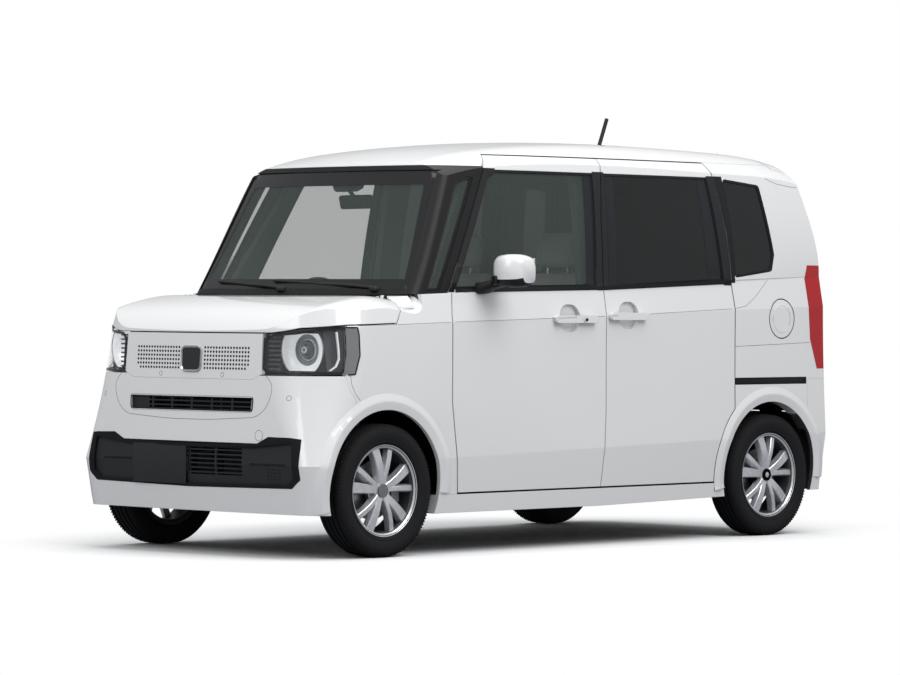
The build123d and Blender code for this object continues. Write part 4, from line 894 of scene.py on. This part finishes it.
# Turned parts of the lamp, as profiles of (forward, radius).
SILVER = [(-12, 67), (-6, 78), (6, 96), (16, 112), (19, 112), (12, 94), (0, 74), (-14, 65)]
OUTER_RIM = [(14, 111), (20, 113), (21, 116), (16, 117), (10, 114)]
INNER_BEZEL = [(-26, 41), (-16, 54), (-12, 67), (-18, 67), (-32, 44)]
PROJECTOR = [(-26, 0.3), (-26, 38), (-14, 37), (-2, 29), (6, 15), (9, 0.3)]
MARK_RIM = [(-22, 38), (-13, 41), (-11, 43), (-17, 46), (-26, 45)]
# A small silver dome in the projector: a painted highlight on its glass.
HIGHLIGHT_DOME = [(4, 0.2), (12, 11), (9, 15), (4, 15)]
# Flat parts inside the lens and on the fender, as outlines, and lines along them.
BOWL = [(430, 768), (430, 948), (560, 952), (640, 948), (706, 940), (706, 772), (560, 768)]
SIDE_WALL = [(1460, 776), (1454, 950), (1524, 950), (1524, 772)]
DARK_PANEL = [(1466, 790), (1462, 946), (1496, 946), (1504, 790)]
SIDE_PART = [(1482, 764), (1464, 850), (1460, 955), (1408, 955), (1402, 930), (1402, 842), (1428, 764)]
LIGHT_BAR = [(1492, 938), (1490, 864), (1492, 826), (1506, 796), (1530, 778)]
LENS_EDGES = [
    ("front", [(690, 768), (560, 766), (450, 765), (428, 790)]),
    ("front", [(680, 950), (620, 943), (560, 932), (500, 927), (450, 925), (428, 900)]),
    ("left", [(1456, 860), (1455, 954), (1480, 959), (1560, 951)]),
    ("left", [(1456, 866), (1466, 790), (1484, 770), (1560, 767)]),
    ("front", [(428, 780), (428, 912)]),
]
SIDE_EDGE = [(1456, 957), (1406, 957), (1400, 930), (1400, 842), (1427, 764), (1460, 762)]


def outer_island(name):
    """The separate solid of a node that reaches furthest out, as a shape in millimetres."""
    mesh = bmesh.new()
    mesh.from_mesh(NODES[name].data)
    bmesh.ops.remove_doubles(mesh, verts=mesh.verts[:], dist=0.00001)
    mesh.verts.ensure_lookup_table()
    left = set(range(len(mesh.verts)))
    shapes = []
    while left:
        stack, group = [left.pop()], []
        while stack:
            i = stack.pop()
            group.append(i)
            for edge in mesh.verts[i].link_edges:
                j = edge.other_vert(mesh.verts[i]).index
                if j in left:
                    left.discard(j)
                    stack.append(j)
        number = {v: k for k, v in enumerate(group)}
        faces = [[number[v.index] for v in f.verts] for f in mesh.faces if f.verts[0].index in number]
        shapes.append(([mesh.verts[i].co * TO_MM for i in group], faces))
    mesh.free()
    return max(shapes, key=lambda s: max(p.x + abs(p.y) for p in s[0]))


def about_ring(profile, steps=56):
    """A ring turned about the lamp's own axis; its profile is (forward, radius)."""
    turn = Matrix.Rotation(math.radians(-90.0 + RING_TURN), 4, "Z")
    points, faces = moved(turned(profile, steps), Matrix.Translation(RING_CENTRE) @ turn)
    return [Vector((p.x, p.y, min(max(p.z, RING_LOW), RING_HIGH))) for p in points], faces


def headlamps():
    """Clear lens over a silver ring with a faint painted glow, a projector with a small silver dome as a painted
    highlight, ribbed bezels and a dark outer panel.
    """
    lens = outer_island("headlamp_left")
    inside_lens = BVHTree.FromPolygons(*lens)
    around = skin_of("fender_left front_bumper")
    light_bar = strip(LIGHT_BAR, bar(2.5, 2.5, 2, -8), inside_lens, "left")
    lens_rim = [strip(rounded(line, 16, closed=False), bar(5.5, 5, -3, 1.0), inside_lens, view)
                for view, line in LENS_EDGES]
    lens_rim.append(strip(SIDE_EDGE, bar(3.5, 3, -3, 3.0), around, "left"))
    on_both_sides("headlamp_unit", [
        (lens, LAMP_LENS),
        (film(BOWL, -150, 3, inside_lens, "front", 30.0), LAMP_SHADE),
        (film(SIDE_WALL, -38, 3, inside_lens, "left", 30.0), LAMP_GREY),
        (about_ring(INNER_BEZEL), LAMP_BEZEL),
        (about_ring(SILVER), GLOWING_LAMP_RING),
        # Silver for the light bar and the mark rim, and for the small dome that is a painted highlight in the
        # projector.
        (joined(light_bar, about_ring(MARK_RIM), about_ring(HIGHLIGHT_DOME, 24)), LAMP_SILVER_AND_HIGHLIGHT),
        (about_ring(OUTER_RIM), CHROME),
        (about_ring(PROJECTOR, 40), PROJECTOR_GLASS),
        (film(DARK_PANEL, -12, 2, inside_lens, "left", 24.0), LAMP_SHADE),
        (joined(*lens_rim), GLOSS_BLACK),
        (film(SIDE_PART, 2.0, 4.0, around, "left", 12.0), SIDE_LENS),
    ], "body", replaces=["headlamp_left"], crease=40.0, slot="lamp_clear")
    rib = {"Length": 0.030, "Width": 0.040, "Height": 0.007, "Finish": LAMP_GREY}
    for side_way, label in ((1, "left"), (-1, "right")):
        ribs = [(1630, side_way * 456, 784 + 19 * i) for i in range(8)]
        grown("bezel_ribs_" + label, BLOCKS, rib, ribs, "body")


def tail_end():
    """Tail lamp ribs, rear wiper, stop lamp, reflectors and blank plate."""
    lamps = skin_of("tail_lamps")
    rims = [strip([(606, 772), (606, 1236)], bar(2.5, 2.5, -1, 1.2), lamps, "rear")]
    for z in (850, 960, 1070, 1180):
        rims.append(strip([(612, z), (690, z)], bar(2.0, 1.5, -1, 1.0), lamps, "rear"))
    on_both_sides("tail_lamp_ribs", [(joined(*rims), GLOSS_BLACK)], "body")
    glass = skin_of("tailgate_glass")
    plate("rear_plate", (-1663.0, 0, 905), "tailgate")
    stop = film(oblong(-130, 1662, 130, 1676), 2.0, 4.0, skin_of("tailgate"), "rear")
    make("high_stop_lamp", [(stop, RED_LENS)], "tailgate")
    seal = rounded([(-499, 1584), (499, 1584), (533, 1187), (-533, 1187)], 38)
    make("rear_window_seal", [(strip(seal, SEAL_SECTION, glass, "rear", True), TRIM)], "tailgate")
    base = landed(glass, "rear", 0, 1222, 6)
    tip = landed(glass, "rear", -250, 1250, 9)
    blade = rod([base, base.lerp(tip, 0.5) - Vector((6, 0, 0)), tip], 5.0)
    pivot = moved(cushion_box((22, 44, 40), 9), placed(base + Vector((2, 0, 0))))
    make("rear_wiper", [(joined(blade, pivot), TRIM)], "tailgate")
    marks = film(oblong(500, 392, 620, 420), 1.4, 3.0, skin_of("rear_bumper"), "rear")
    on_both_sides("rear_reflectors", [(marks, RED_LENS)], "body")


# Windshield edge, wipers and mirrors.

# The painted corner between the bonnet's rear edge, the fender and the pillar's foot: (off the middle, height).
COWL_CORNER = [
    (548, 1086), (580, 1085), (600, 1083), (620, 1079), (640, 1073.5), (660, 1065.5), (680, 1054.5),
    (699, 1039.5), (699, 1034), (660, 1056), (548, 1066),
]
CORNER_TOP = 1089
# Sections of the mirror's shell and of its arm: off the middle, front, back, low, high.
MIRROR_SECTIONS = [
    (770, 628, 560, 1150, 1236), (780, 655, 548, 1138, 1256), (805, 672, 542, 1130, 1266),
    (850, 680, 540, 1127, 1270), (890, 672, 540, 1128, 1268), (915, 650, 542, 1134, 1258),
    (926, 625, 548, 1146, 1240),
]
ARM_SECTIONS = [
    (704, 690, 610, 1098, 1150), (730, 690, 606, 1102, 1150), (765, 672, 596, 1120, 1160),
    (800, 655, 580, 1130, 1166),
]
MIRROR_SPLIT = 1178.0


def windshield_trim():
    """The black printed edge of the glass, the two wipers and what hangs behind the glass."""
    glass = skin_of("windshield")
    outer = [(-560, 1628), (560, 1628), (638, 1118), (-638, 1118)]
    inner = [(-520, 1566), (520, 1566), (604, 1160), (-604, 1160)]
    make("windshield_print", [(strap(outer, inner, 0.5, 1.2, glass, "front"), GLOSS_BLACK)], "body")
    arms, blades = [], []
    for start, tip in (((470, 1122), (-120, 1150)), ((-60, 1120), (-500, 1146))):
        root = landed(glass, "front", *start, 10)
        end = landed(glass, "front", *tip, 9)
        half = root.lerp(end, 0.55)
        arms.append(rod([root, root.lerp(half, 0.5) + Vector((4, 0, 4)), half], 6.5))
        blades.append(rod([landed(glass, "front", start[0] - 120, start[1] + 6, 7), half, end], 5.0))
        arms.append(moved(cushion_box((34, 40, 24), 9), placed(root + Vector((0, 8, -6)))))
    make("wiper_pair", [(joined(*arms), GREY_TRIM), (joined(*blades), TRIM)], "body", replaces=["wipers"])
    rings = [
        [Vector((x, y, min(z + rise * min(1.0, (700 - y) / 42), CORNER_TOP))) for y, z in COWL_CORNER]
        for x, rise in ((1133, 0), (1110, 6), (1085, 14), (1052, 27))
    ]
    on_both_sides("cowl_corner", [(skinned(rings), PAINT)], "body", crease=50.0)
    pod = moved(cushion_box((62, 150, 46), 18, 4), placed((748, 0, 1570), turn_y=22))
    stalk = rod([(752, 0, 1560), (716, 0, 1524), (700, 0, 1512)], 9)
    shell = moved(cushion_box((26, 226, 62), 12, 4), placed((692, -6, 1500), turn_y=12, turn_z=-8))
    make("rear_view_mirror", [(joined(pod, stalk, shell), TRIM)], "body")


def mirror_section(steps, y, x_front, x_back, z_low, z_high):
    """One rounded section of a mirror shell, at a distance off the middle of the car."""
    ring = []
    for i in range(steps):
        a = 2 * math.pi * i / steps
        c, s = math.cos(a), math.sin(a)
        x = (x_front + x_back) / 2 + (x_front - x_back) / 2 * math.copysign(abs(c) ** 0.62, c)
        z = (z_low + z_high) / 2 + (z_high - z_low) / 2 * math.copysign(abs(s) ** 0.55, s)
        ring.append((x, y, z))
    return ring


def door_mirrors():
    """Two-tone shells on black arms, with a clear lamp and the glass that looks back."""
    points, faces = skinned([mirror_section(20, *row) for row in MIRROR_SECTIONS])
    high = [sum(points[i].z for i in face) / len(face) > MIRROR_SPLIT for face in faces]
    upper = points, [face for face, above in zip(faces, high) if above]
    lower = points, [face for face, above in zip(faces, high) if not above]
    arm = skinned([mirror_section(16, *row) for row in ARM_SECTIONS])
    glass = moved(cushion_box((4, 132, 104), 1.8), placed((541, 850, 1200)))
    lamp = moved(cushion_box((16, 46, 40), 6), placed((668, 800, 1158), turn_z=-18))
    on_both_sides("door_mirror_unit", [
        (upper, PAINT), (joined(lower, arm), TRIM), (glass, CHROME), (lamp, GLOSS_BLACK),
    ], "front_door_left", replaces=["door_mirror_left"], crease=50.0)


# Cabin.

SEAT_MIDDLE = 300
# Cushion, backrest and headrest of one front seat and one rear seat: centre, size, lean in degrees, edge radius.
FRONT_CUSHIONS = [
    ((160, SEAT_MIDDLE, 590), (500, 500, 150), -4.0, 40.0),
    ((-190, SEAT_MIDDLE, 900), (110, 490, 640), -14.0, 38.0),
    ((-292, SEAT_MIDDLE, 1300), (85, 250, 170), -10.0, 30.0),
]
REAR_CUSHIONS = [
    ((-790, SEAT_MIDDLE, 620), (460, 500, 120), -5.0, 36.0),
    ((-1090, SEAT_MIDDLE, 930), (100, 490, 620), -14.0, 36.0),
    ((-1185, SEAT_MIDDLE, 1310), (80, 240, 150), -10.0, 28.0),
]
PADDING = 12.0
PUFF_FRAMES = 20


def plump(shape, cap):
    """A padded form blown up a little by a cloth simulation, with no point moved further than the cap."""
    points, faces = shape
    data = bpy.data.meshes.new("padding")
    data.from_pydata([Vector(p) * MM for p in points], [], faces)
    pad = in_scene("padding", data)
    remesh = pad.modifiers.new("remesh", "REMESH")
    remesh.mode = "VOXEL"
    remesh.voxel_size = 0.011
    graph = bpy.context.evaluated_depsgraph_get()
    even = bpy.data.meshes.new_from_object(pad.evaluated_get(graph), depsgraph=graph)
    pad.modifiers.clear()
    pad.data = even
    rest = [v.co.copy() for v in even.vertices]
    puff = pad.modifiers.new("cloth", "CLOTH")
    puff.settings.use_pressure = True
    puff.settings.uniform_pressure_force = 4.0
    puff.settings.effector_weights.gravity = 0.0
    puff.settings.quality = 4
    puff.point_cache.frame_start = 1
    puff.point_cache.frame_end = PUFF_FRAMES
    for step in range(1, PUFF_FRAMES + 1):
        SCENE.frame_set(step)
    graph = bpy.context.evaluated_depsgraph_get()
    blown = bpy.data.meshes.new_from_object(pad.evaluated_get(graph), depsgraph=graph)
    pad.modifiers.clear()
    pad.data = blown
    for v, start in zip(blown.vertices, rest):
        move = v.co - start
        if move.length > cap * MM:
            v.co = start + move.normalized() * cap * MM
    SCENE.frame_set(1)
    result = [v.co * TO_MM for v in pad.data.vertices], [list(f.vertices) for f in pad.data.polygons]
    bpy.data.objects.remove(pad)
    return result


def seats():
    """Two front seats and a split rear bench, each cushion padded on its own."""
    for label, cushions in (("front", FRONT_CUSHIONS), ("rear", REAR_CUSHIONS)):
        pads = []
        for centre, size, lean, radius in cushions:
            small = [s - 14.0 for s in size]
            pads.append(moved(plump(cushion_box(small, radius, 5), PADDING), placed(centre, turn_y=lean)))
        one = joined(*pads)
        cover = make(label + "_seat_pads", [(joined(one, mirrored(one)), SEAT_CLOTH)], "body",
                     replaces=[label + "_seats"], crease=80.0, slot="seat_cloth")
        head_x = cushions[2][0][0]
        posts = joined(*[rod([(head_x + 6, y, 1190), (head_x, y, 1260)], 6)
                         for y in (SEAT_MIDDLE - 60, SEAT_MIDDLE + 60)])
        make(label + "_headrest_posts", [(joined(posts, mirrored(posts)), CHROME)], "body")


# Studio and camera.

# Name, place, size and power of each lamp; all look at the middle of the car.
LAMPS = [
    ("top_lamp", (-0.3, 0.0, 6.5), 7.0, 250.0),
    ("side_lamp", (0.5, 6.0, 6.0), 5.0, 300.0),
    ("front_lamp", (7.5, 0.5, 5.0), 4.5, 190.0),
]
LAMPS_LOOK_AT = (0.0, 0.0, 0.8)
FLOOR_REACH = 40
FLOOR_Z = -0.001
# Camera of the photograph: place, direction and lens.
CAMERA_PLACE = (13.6116, 12.8553, 1.0672)
CAMERA_YAW = -2.3810
CAMERA_PITCH = -0.0085
CAMERA_ROLL = 0.0052
LENS_MM = 166.62
FILM_WIDTH_MM = 36.0
SHIFT_X = 0.0004
SHIFT_Y = -0.0008


def studio_floor():
    """A pale floor that keeps the car's shadow and turns plain white away from it."""
    seen_shades = (0.895, 0.895, 0.897), (0.905, 0.905, 0.905)
    dull = {"Roughness": 0.9, "Specular IOR Level": 0.1}
    material = shaded("pale_floor", (0.90, 0.90, 0.90), 0.6, seen_shades, dull)
    tree = material.node_tree
    nodes = added(tree, bounce="ShaderNodeMix", white="ShaderNodeEmission", squash="ShaderNodeMapping",
                  reach="ShaderNodeVectorMath", far="ShaderNodeMapRange", rays="ShaderNodeLightPath",
                  seen="ShaderNodeMath", both="ShaderNodeMath", mix="ShaderNodeMixShader")
    nodes["bounce"].data_type = "RGBA"
    nodes["reach"].operation = "LENGTH"
    nodes["far"].interpolation_type = "SMOOTHSTEP"
    nodes["seen"].operation = "MAXIMUM"
    nodes["both"].operation = "MULTIPLY"
    set_inputs(nodes["bounce"], {"A": (0.24, 0.25, 0.27, 1.0)})
    set_inputs(nodes["squash"], {"Scale": (1.0, 1.55, 1.0)})
    set_inputs(nodes["far"], {"From Min": 1.75, "From Max": 2.75})
    wire(tree, ("shades", "Color", "bounce", "B"), ("bounce", "Result", SHADER, "Base Color"),
         ("place", "Object", "squash", "Vector"), ("squash", "Vector", "reach", 0),
         ("reach", "Value", "far", "Value"), ("rays", "Is Camera Ray", "seen", 0),
         ("rays", "Is Transmission Ray", "seen", 1), ("seen", "Value", "bounce", "Factor"),
         ("far", "Result", "both", 0), ("seen", "Value", "both", 1), ("both", "Value", "mix", "Fac"),
         (SHADER, "BSDF", "mix", 1), ("white", "Emission", "mix", 2),
         ("mix", "Shader", "Material Output", "Surface"))
    corners = [(x, y, FLOOR_Z) for x, y in oblong(-FLOOR_REACH, -FLOOR_REACH, FLOOR_REACH, FLOOR_REACH)]
    data = bpy.data.meshes.new("studio_floor")
    data.from_pydata(corners, [], [(3, 2, 1, 0)])
    data.materials.append(material)
    floor = in_scene("studio_floor", data)


def studio_world():
    """Soft grey-blue light from all round, in front of a white backdrop."""
    world = bpy.data.worlds.new("studio")
    SCENE.world = world
    world.use_nodes = True
    tree = world.node_tree
    nodes = added(tree, backdrop="ShaderNodeBackground", rays="ShaderNodeLightPath", either="ShaderNodeMath",
                  mix="ShaderNodeMixShader")
    set_inputs(nodes["Background"], {"Color": (0.96, 0.98, 1.0, 1.0), "Strength": 0.52})
    set_inputs(nodes["backdrop"], {"Color": (1.0, 1.0, 1.0, 1.0)})
    nodes["either"].operation = "MAXIMUM"
    wire(tree, ("rays", "Is Camera Ray", "either", 0), ("rays", "Is Transmission Ray", "either", 1),
         ("either", "Value", "mix", "Fac"), ("Background", "Background", "mix", 1),
         ("backdrop", "Background", "mix", 2), ("mix", "Shader", "World Output", "Surface"))


def studio_lamps():
    """Large soft lamps above, beside and before the car."""
    for name, place, size, power in LAMPS:
        data = bpy.data.lights.new(name, "AREA")
        data.size = size
        data.energy = power
        lamp = in_scene(name, data)
        lamp.location = place
        lamp.rotation_euler = (Vector(LAMPS_LOOK_AT) - Vector(place)).to_track_quat("-Z", "Y").to_euler()


def photo_camera():
    """The camera of the photograph."""
    data = bpy.data.cameras.new("photo_camera")
    data.lens = LENS_MM
    data.sensor_width = FILM_WIDTH_MM
    data.shift_x = SHIFT_X
    data.shift_y = SHIFT_Y
    data.clip_end = 200.0
    forward = Vector((
        math.cos(CAMERA_PITCH) * math.cos(CAMERA_YAW),
        math.cos(CAMERA_PITCH) * math.sin(CAMERA_YAW),
        math.sin(CAMERA_PITCH),
    ))
    right = forward.cross(Vector((0, 0, 1))).normalized()
    up = right.cross(forward)
    right_rolled = math.cos(CAMERA_ROLL) * right + math.sin(CAMERA_ROLL) * up
    up_rolled = math.cos(CAMERA_ROLL) * up - math.sin(CAMERA_ROLL) * right
    turn = Matrix((right_rolled, up_rolled, -forward)).transposed()
    camera = in_scene("photo_camera", data)
    camera.matrix_world = Matrix.Translation(CAMERA_PLACE) @ turn.to_4x4()
    SCENE.camera = camera
    SCENE.view_settings.view_transform = "Standard"


finish_nodes()
wheels()
side_trim()
front_trim()
headlamps()
tail_end()
windshield_trim()
door_mirrors()
seats()
studio_floor()
studio_world()
studio_lamps()
photo_camera()
